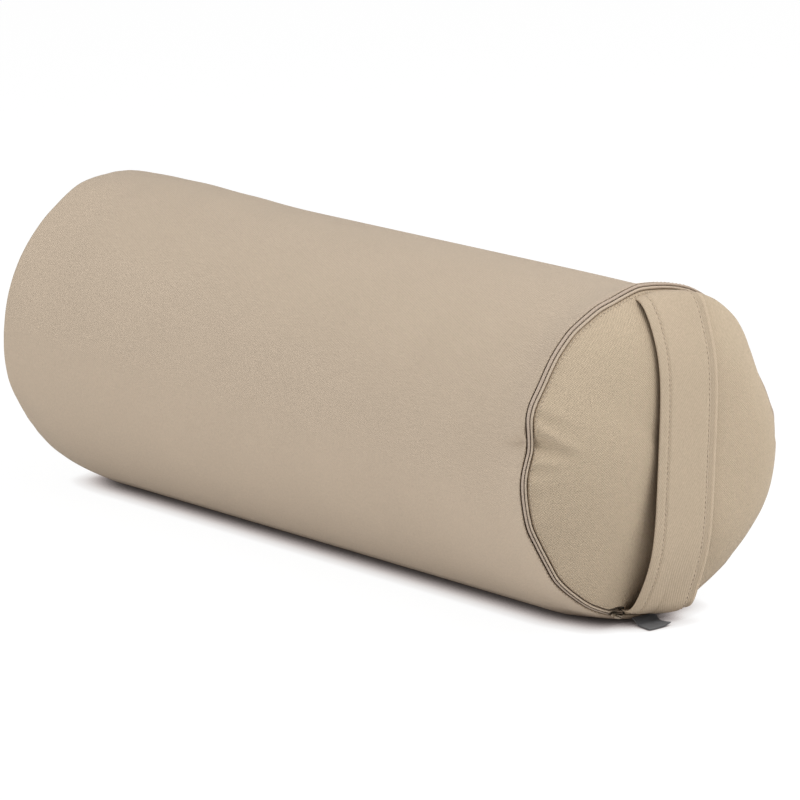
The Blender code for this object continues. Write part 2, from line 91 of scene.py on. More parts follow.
# %% Signals
class Signal:
    """An output socket that Python's operators work on."""

    def __init__(self, finish, socket):
        self.finish = finish
        self.socket = socket

    def math(self, operation, *values):
        return self.finish.add(
            "ShaderNodeMath", {"operation": operation}, dict(enumerate(values))
        )

    def __add__(self, other):
        return self.math("ADD", self, other)

    def __mul__(self, other):
        return self.math("MULTIPLY", self, other)

    def __sub__(self, other):
        return self.math("SUBTRACT", self, other)

    def __rsub__(self, other):
        return self.math("SUBTRACT", other, self)

    __radd__ = __add__
    __rmul__ = __mul__

    def sine(self):
        return self.math("SINE", self)

    def clamped(self):
        return self.math("MINIMUM", self.math("MAXIMUM", self, 0.0), 1.0)

    def above(self, edge, softness):
        """0 below the edge and 1 above it, with a soft step between."""
        return ((self - edge) * (1 / softness) + 0.5).clamped()


print("a signal takes + - * and sine")

# %% [markdown]
# A finish is the tree that the signals live in. Its method `add` makes any node, and the
# nodes that come back often have a short method of their own. The Mix node has sockets for
# numbers, vectors and colours one after the other, so those for colours are named by their
# places.

# %% Finishes
MIX_FACTOR, MIX_FIRST, MIX_SECOND, MIX_RESULT = 0, 6, 7, 2


class Finish:
    """A node tree of a material or of the world."""

    def __init__(self, owner):
        owner.use_nodes = True
        self.owner = owner
        self.nodes = owner.node_tree.nodes
        self.links = owner.node_tree.links

    def add(self, kind, settings=None, inputs=None, output=0):
        node = self.nodes.new(kind)
        settings = dict(settings or {})
        for place, colour in settings.pop("stops", ()):
            stops = node.color_ramp.elements
            stop = stops[0] if place == 0 else stops[-1] if place == 1 else stops.new(place)
            stop.color = colour
        for name, value in settings.items():
            setattr(node, name, value)
        for key, value in (inputs or {}).items():
            self.feed(node.inputs[key], value)
        return Signal(self, node.outputs[output])

    def feed(self, socket, value):
        if isinstance(value, Signal):
            self.links.new(value.socket, socket)
        else:
            socket.default_value = value

    def mix(self, factor, first, second):
        """A colour between two colours."""
        sockets = {MIX_FACTOR: factor, MIX_FIRST: first, MIX_SECOND: second}
        return self.add("ShaderNodeMix", {"data_type": "RGBA"}, sockets, MIX_RESULT)

    def noise(self, place, size, detail):
        """Soft noise with patches of about a size."""
        inputs = {"Vector": place, "Scale": 1 / size, "Detail": detail}
        return self.add("ShaderNodeTexNoise", inputs=inputs)

    def bump(self, height, relief):
        """A normal for a height that counts in steps of relief, in metres."""
        inputs = {"Height": height, "Distance": relief, "Strength": 1.0}
        return self.add("ShaderNodeBump", inputs=inputs)

    def open_sky(self, reach, samples):
        """1 in the open, and less where something stands near within reach."""
        settings, inputs = {"samples": samples}, {"Distance": reach}
        return self.add("ShaderNodeAmbientOcclusion", settings, inputs, "AO")

    def shade(self, **values):
        """Sets or links sockets of the material's main shader."""
        shader = self.nodes["Principled BSDF"]
        for name, value in values.items():
            self.feed(shader.inputs[name.replace("_", " ")], value)


def new_finish(name):
    return Finish(bpy.data.materials.new(name))


def darker(colour, share):
    return tuple(value * share for value in colour) + (1.0,)


print("sockets of a colour mix:", MIX_FACTOR, MIX_FIRST, MIX_SECOND)

# %% [markdown]
# ## Floor and light
# The photograph has a pure white ground on which only a narrow dark line under the
# object is left. A white floor under plain lamps would show a wide grey shadow. So the
# camera sees a floor that glows white and is darkened by Ambient Occlusion over a short
# distance, with some of the real shadow kept. For the light that bounces up to the
# bolster it is a plain pale floor.

# %% Floor
WHITE = (1.0, 1.0, 1.0, 1.0)
FLOOR_SIZE = 14.0
FLOOR_DROP = 0.0006
FLOOR_BOUNCE = (0.80, 0.80, 0.80, 1.0)
CONTACT_REACH = 0.015
CONTACT_SAMPLES = 16
GLOW_SHARE = 0.95
LIT_SHARE = 0.10
SHADOW_TONES = (
    (0, (0.004, 0.003, 0.002, 1.0)),
    (0.07, (0.020, 0.016, 0.014, 1.0)),
    (0.12, (0.085, 0.072, 0.068, 1.0)),
    (0.24, (0.34, 0.30, 0.29, 1.0)),
    (0.36, (0.57, 0.525, 0.51, 1.0)),
    (0.55, (0.79, 0.765, 0.755, 1.0)),
    (1, WHITE),
)


def seen_directly(finish):
    """1 for camera, mirror and glass rays, which show the ground, and 0 for the rest."""
    rays = [
        finish.add("ShaderNodeLightPath", output=name)
        for name in ("Is Camera Ray", "Is Glossy Ray", "Is Transmission Ray")
    ]
    return (rays[0] + rays[1] + rays[2]).clamped()


def floor_finish():
    floor = new_finish("white_floor")
    open_sky = floor.open_sky(CONTACT_REACH, CONTACT_SAMPLES)
    tone = floor.add("ShaderNodeValToRGB", {"stops": SHADOW_TONES}, {0: open_sky})
    glow = floor.add("ShaderNodeEmission", inputs={"Color": tone, "Strength": GLOW_SHARE})
    lit = floor.add("ShaderNodeBsdfDiffuse", inputs={"Color": darker(WHITE[:3], LIT_SHARE)})
    shown = floor.add("ShaderNodeAddShader", inputs={0: glow, 1: lit})
    bounce = floor.add("ShaderNodeBsdfDiffuse", inputs={"Color": FLOOR_BOUNCE})
    final = floor.add("ShaderNodeMixShader", inputs={0: seen_directly(floor), 1: bounce, 2: shown})
    floor.links.new(final.socket, floor.nodes["Material Output"].inputs["Surface"])
    return floor.owner


floor_mesh = bpy.data.meshes.new("floor")
half = FLOOR_SIZE / 2
corners = [(-half, -half), (half, -half), (half, half), (-half, half)]
floor_mesh.from_pydata([(x, y, -FLOOR_DROP) for x, y in corners], [], [(0, 1, 2, 3)])
floor_mesh.materials.append(floor_finish())
floor_object = bpy.data.objects.new("floor", floor_mesh)
bpy.context.scene.collection.objects.link(floor_object)
print("floor", FLOOR_SIZE, "m square")

# %% [markdown]
# Four soft lamps and a white room share the work. One hangs overhead, one stands before
# the long side, and two stand before the domed end, of which the higher and stronger one
# draws the dark gap beside the strap. Their powers come from a fit of each lamp's own
# picture to the photograph's tones.

# %% Light
ROOM_LIGHT = 0.20
LAMP_TARGET = Vector((0, 0, 0.1))
LAMPS = {
    "overhead": {"place": (0.2, -0.3, 2.6), "size": 2.6, "power": 21.1},
    "long_side": {"place": (-0.6, -2.9, 1.0), "size": 2.2, "power": 51.0},
    "domed_end": {"place": (2.3, 1.9, 0.8), "size": 2.0, "power": 21.5},
    "high_key": {"place": (1.9, 0.7, 2.2), "size": 1.4, "power": 42.7},
}

room = Finish(bpy.context.scene.world or bpy.data.worlds.new("room"))
bpy.context.scene.world = room.owner
background = room.nodes["Background"]
background.inputs["Color"].default_value = WHITE
room.feed(background.inputs["Strength"], seen_directly(room) * (1 - ROOM_LIGHT) + ROOM_LIGHT)

for name, lamp in LAMPS.items():
    light = bpy.data.lights.new(name, "AREA")
    light.size = lamp["size"]
    light.energy = lamp["power"]
    holder = bpy.data.objects.new(name, light)
    bpy.context.scene.collection.objects.link(holder)
    aim = LAMP_TARGET - Vector(lamp["place"])
    holder.location = lamp["place"]
    holder.rotation_euler = aim.to_track_quat("-Z", "Y").to_euler()
print("lamps:", ", ".join(LAMPS))

# %% [markdown]
# ## Twill
# Twill has fine slanting ribs, because each crossing yarn steps one place along. A rib
# could be modelled, but at 1.3 mm it is far too fine for a mesh of this size. It is drawn
# as a sine across the cloth and fed to the colour and to a Bump. Slubs, the thick places
# in a spun yarn, break the ribs up. Shade is painted into the colour where the cloth is
# hemmed in, which Ambient Occlusion finds: there it turns browner and darker. The cloth's
# own flat coordinates, in metres, keep the ribs the same size on every panel.

# %% Twill finish
RIB_PITCH = 0.00130
YARN_PITCH = 0.00115
SLUB_SIZE = 0.0016
MOTTLE_SIZE = 0.006
CLOUD_SIZE = 0.060
WEAVE_SHARE = 0.30
SLUB_SHARE = 0.90
MOTTLE_SHARE = 0.30
CLOUD_SHARE = 0.30
RIB_SHARE = 0.65
RIB_BEND = 1.5
FINE_RELIEF = 0.00006
CLOTH_ROUGHNESS = 0.92
ROUGHNESS_RANGE = 0.06
CLOTH_SHEEN = 0.08
CLOTH_SPECULAR = 0.25
PAINTED_SHADE_REACH = 0.014
PAINTED_SHADE_SAMPLES = 4
PAINTED_SHADE_SHARE = 0.85
PAINTED_SHADE_TINT = (0.30, 0.22, 0.15)


def twill(name, colour, slant, spread, relief=FINE_RELIEF, tone=None):
    """Cotton twill with ribs that slant by degrees from the cloth's first direction.

    Spread is how far its darkest and lightest yarns are from its colour, and tone makes
    places lighter or darker from the flat coordinates.
    """
    slant = math.radians(slant)
    cloth = new_finish(name)
    flat = cloth.add("ShaderNodeUVMap", {"uv_map": "weave"})
    u = cloth.add("ShaderNodeSeparateXYZ", inputs={0: flat}, output=0)
    v = cloth.add("ShaderNodeSeparateXYZ", inputs={0: flat}, output=1)
    slub = cloth.noise(flat, SLUB_SIZE, detail=1.0) - 0.5
    mottle = cloth.noise(flat, MOTTLE_SIZE, detail=3.0) - 0.5
    cloud = cloth.noise(flat, CLOUD_SIZE, detail=2.0) - 0.5
    turn = 2 * math.pi / RIB_PITCH
    across = u * (-math.sin(slant) * turn) + v * (math.cos(slant) * turn)
    along = u * math.cos(slant) + v * math.sin(slant)
    rib = (across + mottle * RIB_BEND).sine()
    yarn = (along * (2 * math.pi / YARN_PITCH) + mottle * RIB_BEND).sine()
    weave = rib * RIB_SHARE + yarn * (1 - RIB_SHARE)
    shade = weave * WEAVE_SHARE + slub * SLUB_SHARE + mottle * MOTTLE_SHARE
    shade = shade + cloud * CLOUD_SHARE + 0.5
    if tone:
        shade = shade + tone(u, v)
    shade = shade.clamped()
    # Painted shade: where Ambient Occlusion finds the cloth hemmed in, its colour turns browner
    # and darker.
    open_sky = cloth.open_sky(PAINTED_SHADE_REACH, PAINTED_SHADE_SAMPLES)
    painted_shade = tuple(value * tint for value, tint in zip(colour, PAINTED_SHADE_TINT)) + (1.0,)
    in_open = cloth.mix(shade, darker(colour, 1 - spread), darker(colour, 1 + spread))
    cloth.shade(
        Base_Color=cloth.mix((1 - open_sky) * PAINTED_SHADE_SHARE, in_open, painted_shade),
        Roughness=CLOTH_ROUGHNESS - shade * ROUGHNESS_RANGE,
        Sheen_Weight=CLOTH_SHEEN,
        Specular_IOR_Level=CLOTH_SPECULAR,
        Normal=cloth.bump(weave + slub + mottle, relief),
    )
    return cloth.owner


# The ends are the same cloth as the body; their warmer copy of its colour is painted light.
BODY_BEIGE = (0.534, 0.432, 0.328)
END_BEIGE_PAINTED_LIGHT = (0.545, 0.437, 0.313)
body_twill = twill("body_twill", BODY_BEIGE, slant=20, spread=0.11, relief=0.00012)
end_twill = twill("end_twill", END_BEIGE_PAINTED_LIGHT, slant=44, spread=0.16, relief=0.00016)
print("ribs per metre:", round(1 / RIB_PITCH))

# %% [markdown]
# ## The bolster's sizes
# Nearly all are the values of the solids, so that a piece of cloth lies on them without
# fitting. The cloth here stays a little further from the zip, and its shoulder is softer.
# Angles start at the top and grow towards the side of the zip that is seen.

# %% Sizes
SEAM_X = 0.2885
SEAM_RADIUS = 0.109
RING_Z = 0.1138
SIDE_SWELL = 0.0001
CROWN_SWELL = 0.003
BODY_MIDDLE_Z = 0.1068
END_ROUNDING = 0.052
SHOULDER_BACK = 0.0034
SHOULDER_RISE = 0.0021
SHOULDER_REACH = 0.026
DOME_DEPTH = 0.028
DOME_POWER = 2.2
ZIP_TILT = math.radians(55)
ZIP_EDGE = 0.0029
PLAIN_EDGE = 0.00015
TAPE_START = 167.13
TAPE_END = -94.60
EDGE_CHANGE = 1.6
POCKET_MIDDLE = 164.0
POCKET_WIDTH = 4.0
POCKET_DEPTH = 0.0046
print("bolster:", round(2 * (SEAM_X + DOME_DEPTH), 4), "m over its domes")

# %% [markdown]
# Stuffed cloth needs many small numbers that change round the seam. They are kept as
# short tables of degrees and values, and a bell-shaped average rounds their corners off.

# %% Tables round the seam
MILLIMETRE = 0.001
ROUND = np.arange(-180.0, 181.0)
TABLE_REACH = 30


def smooth_table(table, width):
    """A soft curve through (degrees, value) pairs, given at whole degrees all round."""
    degrees, values = np.array(sorted(table)).T
    raw = np.interp(ROUND[:-1], degrees, values, period=360)
    reach = np.arange(-TABLE_REACH, TABLE_REACH + 1)
    weights = np.exp(-((reach / width) ** 2))
    soft = sum(weight * np.roll(raw, step) for weight, step in zip(weights, reach))
    soft /= weights.sum()
    return np.append(soft, soft[0])


def look_up(curve, degrees):
    return np.interp((np.asarray(degrees) + 180) % 360 - 180, ROUND, curve)


print("values in a table:", len(ROUND))

# %% [markdown]
# ## An end that isn't quite round
# Packed fibre pushes unevenly, so the seam is not a true circle. It wanders a few
# millimetres in and out, with a clear hollow at the upper right, where the end panel
# swells out over it. The seam comes back to zero where the slider stands at its two ends.
# The wander is split in two: its broad part reaches far into the cloth, and its local
# part fades within a few centimetres.

# %% The seam's wander
SEAM_WANDER = smooth_table(
    (
        (-170, 0.0), (-153, -0.9), (-140, 0.0), (-128, 0.2), (-120, 1.6), (-114, 2.4),
        (-108, 1.7), (-101, 0.4), (-95, 0.0), (-86, 0.0), (-82, -2.8), (-76, -5.0),
        (-70, -7.6), (-65, -8.6), (-59, -7.8), (-52, -6.6), (-44, -5.0), (-36, -3.8),
        (-27, -2.4), (-19, -0.7), (-12, -0.4), (-6, 0.0), (0, 0.7), (5, 1.6), (11, 0.7),
        (17, 0.2), (23, 1.4), (30, 1.6), (37, 2.7), (42, 2.3), (47, 2.0), (52, 1.2),
        (57, 0.6), (61, 1.1), (65.5, 2.2), (69.5, 1.6), (73, -0.9), (77, -3.4),
        (80.7, -4.4), (84.5, -2.6), (88.5, -0.7), (92, 0.3), (99, 0.6), (108, 0.9),
        (114, -0.6), (119.5, -1.1), (125, -0.7), (131, 0.6), (142, 0.0), (150, 0.3),
        (156, 0.0), (170, 0.0),
    ),
    width=1.6,
) * MILLIMETRE
BROAD_WIDTH = 16.0
SEAM_BROAD = smooth_table(zip(ROUND[:-1], SEAM_WANDER), BROAD_WIDTH)
SEAM_LOCAL = SEAM_WANDER - SEAM_BROAD
print("seam wanders", SEAM_WANDER.min().round(4), "to", SEAM_WANDER.max().round(4), "m")

# %% [markdown]
# Every piece near the seam is placed by two functions. One counts along the bolster and
# outwards from the seam's circle. The other counts across the zip's face, which is tilted
# like the face of a cone, and proud of it.

# %% Places by the seam
def ring(degrees, along, out, end=1):
    """Points by their offsets from the seam's circle, along the bolster and outwards."""
    angle = np.radians(degrees)
    radius = SEAM_RADIUS + out
    x = end * (SEAM_X + along)
    return np.stack(
        np.broadcast_arrays(x, -radius * np.sin(angle), RING_Z + radius * np.cos(angle)), -1
    )


def zip_place(degrees, across, proud):
    """Points on the tilted face of the zip, across it and proud of it."""
    along = across * math.cos(ZIP_TILT) + proud * math.sin(ZIP_TILT)
    out = proud * math.cos(ZIP_TILT) - across * math.sin(ZIP_TILT)
    return ring(degrees, along, out + look_up(SEAM_WANDER, degrees))


print("zip's face tilted by", round(math.degrees(ZIP_TILT)), "degrees")

# %% [markdown]
# ## Room for the zip
# The cloth's edges leave a slit for the zip where there is one, and meet at the seam
# where there is none. The slit narrows with the zip round the lower part of the seen
# side. The end panel's edge is drawn back beside the closed slider, and lies close to the
# zip over the top.

# %% The cloth's edges
PLATEAU_POWER = 4
ZIP_WIDTH = smooth_table(
    ((-180, 0.8), (-150, 0.8), (-95, 1.0), (50, 1.0), (68, 0.95), (78, 0.78), (100, 0.76),
     (132, 0.72), (148, 0.58), (165, 0.55)),
    width=4.0,
)
RIM_CLOSENESS = smooth_table(
    ((-180, 0), (-110, 0), (-95, 0.7), (0, 0.7), (40, 0.75), (62, 0.5), (75, 0.3), (88, 0.2),
     (130, 0.2), (150, 0.1), (158, 0), (180, 0)),
    width=4.0,
) * MILLIMETRE


def plateau(away):
    """A hump with a flat top: 1 at 0, and close to 0 from 1.5 on."""
    return np.exp(-(away**PLATEAU_POWER))


def cloth_edge(degrees, side):
    """How far the cloth's edge stays from the seam's line: room for the zip, or none."""
    into_start = (TAPE_START - degrees) / EDGE_CHANGE
    into_end = (degrees - TAPE_END) / EDGE_CHANGE
    share = np.clip(np.minimum(into_start, into_end), 0, 1)
    gap = ZIP_EDGE * look_up(ZIP_WIDTH, degrees)
    if side > 0:
        pocket = plateau((degrees - POCKET_MIDDLE) / POCKET_WIDTH)
        gap = gap + pocket * POCKET_DEPTH - look_up(RIM_CLOSENESS, degrees)
    return PLAIN_EDGE + (gap - PLAIN_EDGE) * share


print("slit at the top:", (cloth_edge(0.0, 1) + cloth_edge(0.0, -1)).round(4), "m")

# %% [markdown]
# ## Puckers
# A seam is sewn shorter than the cloth beside it, so the cloth draws up into small folds
# that fade within a few centimetres. Each pucker is a soft ridge or hollow that starts at
# the seam. Most are faint and come from a seeded random list, and the clear groups at the
# zip's kink, one on each side of the seam, are listed one by one.

# %% Puckers
PUCKER_START = 0.0015
PUCKER_FADE = 1.5
FAINT_COUNT = 90
FAINT_REACH = (0.008, 0.024)
FAINT_WIDTH = (0.0028, 0.0060)
FAINT_SLANT = (-0.2, 0.2)
# Degrees, reach, height, width and slant of each pucker
KINK_PUCKERS = [
    (65, 0.036, 0.0010, 0.0036, -0.10),
    (68.2, 0.028, -0.0012, 0.0028, -0.15),
    (72.0, 0.036, 0.0036, 0.0039, -0.42),
    (77.6, 0.030, -0.0043, 0.0038, -0.32),
    (84.2, 0.024, 0.0024, 0.0025, -0.10),
    (88.0, 0.020, -0.0015, 0.0024, -0.10),
    (92.5, 0.030, 0.0005, 0.0040, 0.00),
    (98, 0.034, -0.0006, 0.0045, 0.05),
    (106, 0.030, 0.0005, 0.0045, 0.10),
]
BODY_FOLDS = [
    (73.6, 0.030, 0.0022, 0.0028, 0.1),
    (77.4, 0.034, -0.0034, 0.0022, 0.0),
    (77.4, 0.007, 0.0032, 0.0028, 0.0),
    (84, 0.024, 0.0008, 0.0040, 0.1),
]


def faint_puckers(seed, height):
    draw = np.random.default_rng(seed)
    ranges = ((-180, 180), FAINT_REACH, (-height, height), FAINT_WIDTH, FAINT_SLANT)
    return [tuple(draw.uniform(*limits) for limits in ranges) for _ in range(FAINT_COUNT)]


def pucker_height(puckers, degrees, distance):
    """The height of all puckers at a place round the seam and a distance from it."""
    total = np.zeros(np.broadcast(degrees, distance).shape)
    held = 1 - np.exp(-np.maximum(distance, 0) / PUCKER_START)
    for place, reach, height, width, slant in puckers:
        apart = (degrees - place + 180) % 360 - 180
        arc = np.radians(apart) * SEAM_RADIUS + slant * distance
        fade = held * np.clip(1 - distance / reach, 0, 1) ** PUCKER_FADE
        total += height * fade * np.exp(-((arc / width) ** 2))
    return total


END_PUCKERS = KINK_PUCKERS + faint_puckers(seed=11, height=0.00035)
BODY_PUCKERS = faint_puckers(seed=12, height=0.00030) + BODY_FOLDS
PLAIN_PUCKERS = faint_puckers(seed=13, height=0.00040)
print("puckers:", len(END_PUCKERS) + len(BODY_PUCKERS) + len(PLAIN_PUCKERS))

# %% [markdown]
# ## Cloth from a grid
# A panel of cloth is a grid of points, and each point also knows its place on the flat
# cloth for the weave. The Solidify modifier then gives the sheet its thickness, which
# keeps the edges real where the zip's slit is open.

# %% Making a sheet
CLOTH_THICKNESS = 0.0005
MERGE_WITHIN = 1e-7


def add_object(name, mesh, material):
    mesh.materials.append(material)
    made = bpy.data.objects.new(name, mesh)
    bpy.context.scene.collection.objects.link(made)
    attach(made, "cover")
    return made


def grid_mesh(name, points, flat):
    """A mesh through rows of points. The last column repeats the first one's places."""
    rows, columns = points.shape[:2]
    kept = columns - 1
    vertices = points[:, :kept].reshape(-1, 3)
    faces, places = [], []
    for row in range(rows - 1):
        for column in range(columns - 1):
            corners = ((row, column), (row, column + 1), (row + 1, column + 1), (row + 1, column))
            faces.append([r * kept + c % kept for r, c in corners])
            places.extend(flat[r, c] for r, c in corners)
    mesh = bpy.data.meshes.new(name)
    mesh.from_pydata(vertices.tolist(), [], faces)
    weave = mesh.uv_layers.new(name="weave")
    weave.data.foreach_set("uv", np.array(places, float).ravel())
    return mesh


def tidy_mesh(mesh):
    """Merges the points of a pole and turns every face outwards."""
    mesh_maker = bmesh.new()
    mesh_maker.from_mesh(mesh)
    bmesh.ops.remove_doubles(mesh_maker, verts=mesh_maker.verts, dist=MERGE_WITHIN)
    bmesh.ops.recalc_face_normals(mesh_maker, faces=mesh_maker.faces)
    mesh_maker.to_mesh(mesh)
    mesh_maker.free()
    mesh.shade_smooth()


def sheet(name, points, flat, material):
    mesh = grid_mesh(name, points, flat)
    tidy_mesh(mesh)
    made = add_object(name, mesh, material)
    thick = made.modifiers.new("cloth thickness", "SOLIDIFY")
    thick.thickness = CLOTH_THICKNESS
    thick.offset = -1
    return made


print("cloth thickness:", CLOTH_THICKNESS, "m")

# %% [markdown]
# ## The body panel
# The body is one tube. It swells just behind the zip, where the cloth is held in, and lies
# flat where its weight rests on the floor. Its crown is a little fuller towards the plain
# end, which was found from the photograph's upper outline, ring by ring. The seam of the
# plain end wanders too.

# %% Places on the body
BROAD_REACH = 0.060
LOCAL_REACH = 0.014
CONTACT_SOFTNESS = 0.0008
CROWN_POWER = 4
CROWN_STEP = 0.001
CROWN_X = np.arange(-SEAM_X, SEAM_X, CROWN_STEP)
CROWN_SOFTNESS = 0.006
PROFILE_REACH = 20


def soft_profile(table):
    """A soft curve through (X, height) pairs in millimetres, given at CROWN_X."""
    along, heights = np.array(table).T * MILLIMETRE
    raw = np.interp(CROWN_X, along, heights)
    reach = np.arange(-PROFILE_REACH, PROFILE_REACH + 1)
    weights = np.exp(-((reach * CROWN_STEP / CROWN_SOFTNESS) ** 2))
    padded = np.pad(raw, PROFILE_REACH, mode="edge")
    return np.convolve(padded, weights / weights.sum(), "valid")


CROWN_FILL = soft_profile(
    (
        (-288.5, 0), (-278.5, 1.9), (-268.5, 3.2), (-258.5, 4.1), (-238.5, 4.4), (-218.5, 4.5),
        (-208.5, 4.0), (-198.5, 3.3), (-178.5, 2.6), (-168.5, 2.5), (-158.5, 2.1), (-148.5, 1.4),
        (-138.5, 0.9), (-118.5, 0.2), (-100, 0), (288.5, 0),
    )
)
PLAIN_WANDER = smooth_table(
    ((-180, 0), (-40, 0), (-26, -1.3), (-14, -1.5), (-4, 0), (8, 0.6), (20, 2.8), (32, 0.6),
     (45, 0), (85, 0), (98, 1.4), (108, 1.8), (118, 0.4), (130, 0.8), (140, 2.2), (150, 3.4),
     (160, 1.6), (172, 0)),
    width=3.0,
) * MILLIMETRE
PLAIN_REACH = 0.030


def body_place(degrees, x, rise, inset=0.0):
    """Points on the body, which swells by rise and lies inset inside the cloth's face."""
    angle = np.radians(degrees)
    inward = np.clip((SEAM_X - np.abs(x)) / END_ROUNDING, 0, 1)
    share = np.sin(np.pi / 2 * inward)
    distance = np.maximum(SEAM_X - x, 0)
    wander = look_up(SEAM_BROAD, degrees) * np.exp(-((distance / BROAD_REACH) ** 2))
    wander = wander + look_up(SEAM_LOCAL, degrees) * np.exp(-((distance / LOCAL_REACH) ** 2))
    from_plain = np.maximum(SEAM_X + x, 0)
    wander = wander + look_up(PLAIN_WANDER, degrees) * np.exp(-((from_plain / PLAIN_REACH) ** 2))
    fill = np.interp(x, CROWN_X, CROWN_FILL)
    swell = rise + wander - inset
    half_width = SEAM_RADIUS + SIDE_SWELL * share + swell
    half_height = SEAM_RADIUS + CROWN_SWELL * share + swell
    half_height = half_height + fill * np.clip(np.cos(angle), 0, 1) ** CROWN_POWER
    middle = RING_Z + (BODY_MIDDLE_Z - RING_Z) * share
    over = middle + half_height * np.cos(angle) - inset
    height = inset + (over + np.sqrt(over**2 + CONTACT_SOFTNESS**2)) / 2
    return np.stack(np.broadcast_arrays(x, -half_width * np.sin(angle), height), -1)


print("crown fuller by up to", CROWN_FILL.max().round(4), "m")

# %% [markdown]
# The panel's edge turns in beside the zip, which draws the fine dark line that the
# photograph shows there. Rows are close together at the ends and far apart between, and
# columns are close together at the lengthwise seam, so that the faces go where the shape
# changes.

# %% Body panel
EDGE_FOLD = 0.0014
EDGE_FOLD_REACH = 0.0009
LENGTH_SEAM = -135.0
LENGTH_SEAM_DEPTH = 0.0008
LENGTH_SEAM_WIDTH = 0.9
LENGTH_SEAM_COLUMNS = (-1.6, -1.0, -0.5, -0.25, 0, 0.25, 0.5, 1.0, 1.6)
CLOTH_STEP = 1.25
SHOULDER_ROWS = 11
SHOULDER_CROWDING = 1.3
BODY_ROWS = 96
BODY_CROWDING = 0.13


def round_degrees():
    """Angles all round, closer together at the body's lengthwise seam."""
    even = np.arange(-180, 180 + CLOTH_STEP / 2, CLOTH_STEP)
    return np.unique(np.concatenate([even, LENGTH_SEAM + np.array(LENGTH_SEAM_COLUMNS)]))


def shoulder_tail(back_distance):
    share = np.clip((back_distance - SHOULDER_BACK) / SHOULDER_REACH, 0, 1)
    return SHOULDER_RISE * (1 + np.cos(np.pi * share)) / 2


def shoulder_rise(edge, left):
    """The shoulder's height, which meets the zip's face at the edge, where left is 1."""
    return SHOULDER_RISE - (SHOULDER_RISE - edge * math.sin(ZIP_TILT)) * left**2


def fold_depth(distance):
    return EDGE_FOLD * np.clip(1 - distance / EDGE_FOLD_REACH, 0, 1) ** 2


def body_grid():
    degrees = round_degrees()[None, :]
    shoulder = np.linspace(0, 1, SHOULDER_ROWS)[:, None] ** SHOULDER_CROWDING
    edge = cloth_edge(degrees, -1)
    edge_back = edge * math.cos(ZIP_TILT)
    near_back = edge_back + (SHOULDER_BACK - edge_back) * shoulder
    near_rise = shoulder_rise(edge, 1 - shoulder)
    length = 2 * SEAM_X - SHOULDER_BACK
    spread = np.linspace(0, 1, BODY_ROWS)[1:, None]
    eased = spread - BODY_CROWDING * np.sin(2 * np.pi * spread)
    far_back = SHOULDER_BACK + (length - PLAIN_EDGE) * eased + 0 * degrees
    far_rise = shoulder_tail(far_back)
    from_zip = np.vstack([near_back, far_back])
    rise = np.vstack([near_rise, far_rise])
    from_plain = 2 * SEAM_X - from_zip
    seam = np.exp(-(((degrees - LENGTH_SEAM) / LENGTH_SEAM_WIDTH) ** 2)) * LENGTH_SEAM_DEPTH
    fold = fold_depth(from_zip - edge_back)
    rise = (
        rise
        + pucker_height(BODY_PUCKERS, degrees, from_zip - edge_back)
        + pucker_height(PLAIN_PUCKERS, degrees, from_plain)
        - fold * math.cos(ZIP_TILT)
        - fold_depth(from_plain)
        - seam
    )
    points = body_place(degrees, SEAM_X - from_zip - fold * math.sin(ZIP_TILT), rise)
    flat = np.stack(
        np.broadcast_arrays(SEAM_X - from_zip, np.radians(degrees) * SEAM_RADIUS), -1
    )
    return points, flat


points, flat = body_grid()
body_panel = sheet("bolster_body", points, flat, body_twill)
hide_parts("cover_body_panel")
print("body panel faces:", len(body_panel.data.polygons))

# %% [markdown]
# ## The domed ends
# Each end is a flat disc that the filling pushes out. On the far side of the strap it
# bulges further, so that it hides its own seam from the camera. One formula makes both
# ends: its power says how full the dome is at each place round the rim. The camera's half
# of the zip end also leans: full at the top, where the strap nearly touches it, and
# hollow below.

# %% How full the dome is
DOME_FULLNESS = smooth_table(
    ((-180, 2.8), (-160, 3.2), (-140, 5.5), (-120, 7.5), (-60, 7.5), (-35, 6.5), (-15, 5.5),
     (5, 4.7), (20, 4.0), (45, 3.0), (70, 2.7), (150, 2.6)),
    width=6.0,
)
END_SWELL = smooth_table(
    ((-180, 0), (-62, 0), (-53, 2.5), (-42, 6.5), (-28, 7.0), (-18, 4.0), (-10, 1.5), (-4, 0),
     (180, 0)),
    width=3.0,
) * MILLIMETRE
SWELL_PEAK = 0.005
RIM_FOLD = smooth_table(
    ((-180, 0.8), (-95, 0.8), (-60, 0.5), (45, 0.45), (62, 0.50), (75, 0.55), (90, 0.85),
     (150, 0.9), (162, 1.0)),
    width=4.0,
)
DOME_BULGE = smooth_table(
    ((-180, 0), (50, 0), (66, 2.2), (80, 3.0), (105, 2.4), (125, 1.6), (150, 0.6), (165, 0)),
    width=5.0,
) * MILLIMETRE
BULGE_PEAK = 0.032
DOME_LEAN = smooth_table(
    ((-180, -2.4), (-160, -0.8), (-140, 0), (-40, 0), (-20, 0.8), (0, 2.6), (30, 2.5), (60, 1.6),
     (90, 0), (120, -1.6), (150, -2.7)),
    width=6.0,
) * MILLIMETRE
# This makes share * (1 - share**2) peak at 1
LEAN_SCALE = 1.5 * math.sqrt(3)
print("end panel swells over its seam by up to", END_SWELL.max().round(4), "m")

# %% [markdown]
# One function places every point of an end panel from its angle and its distance from the
# edge. The edge turns in beside the zip as the body's does, and less so over the top.

# %% End panels
BROAD_FADE = 3
LOCAL_FADE = 12
BULGE_FADE = 6
DOME_ROWS = 70
DOME_CROWDING = 1.8


def end_wander(degrees, share):
    """The seam's wander on the end panel, which fades towards the panel's middle."""
    broad = look_up(SEAM_BROAD, degrees) * share**BROAD_FADE
    return broad + look_up(SEAM_LOCAL, degrees) * share**LOCAL_FADE


def hump(distance, peak):
    """A soft hump that starts at 0, is 1 at its peak and fades slowly beyond."""
    return distance / peak * np.exp(1 - distance / peak)


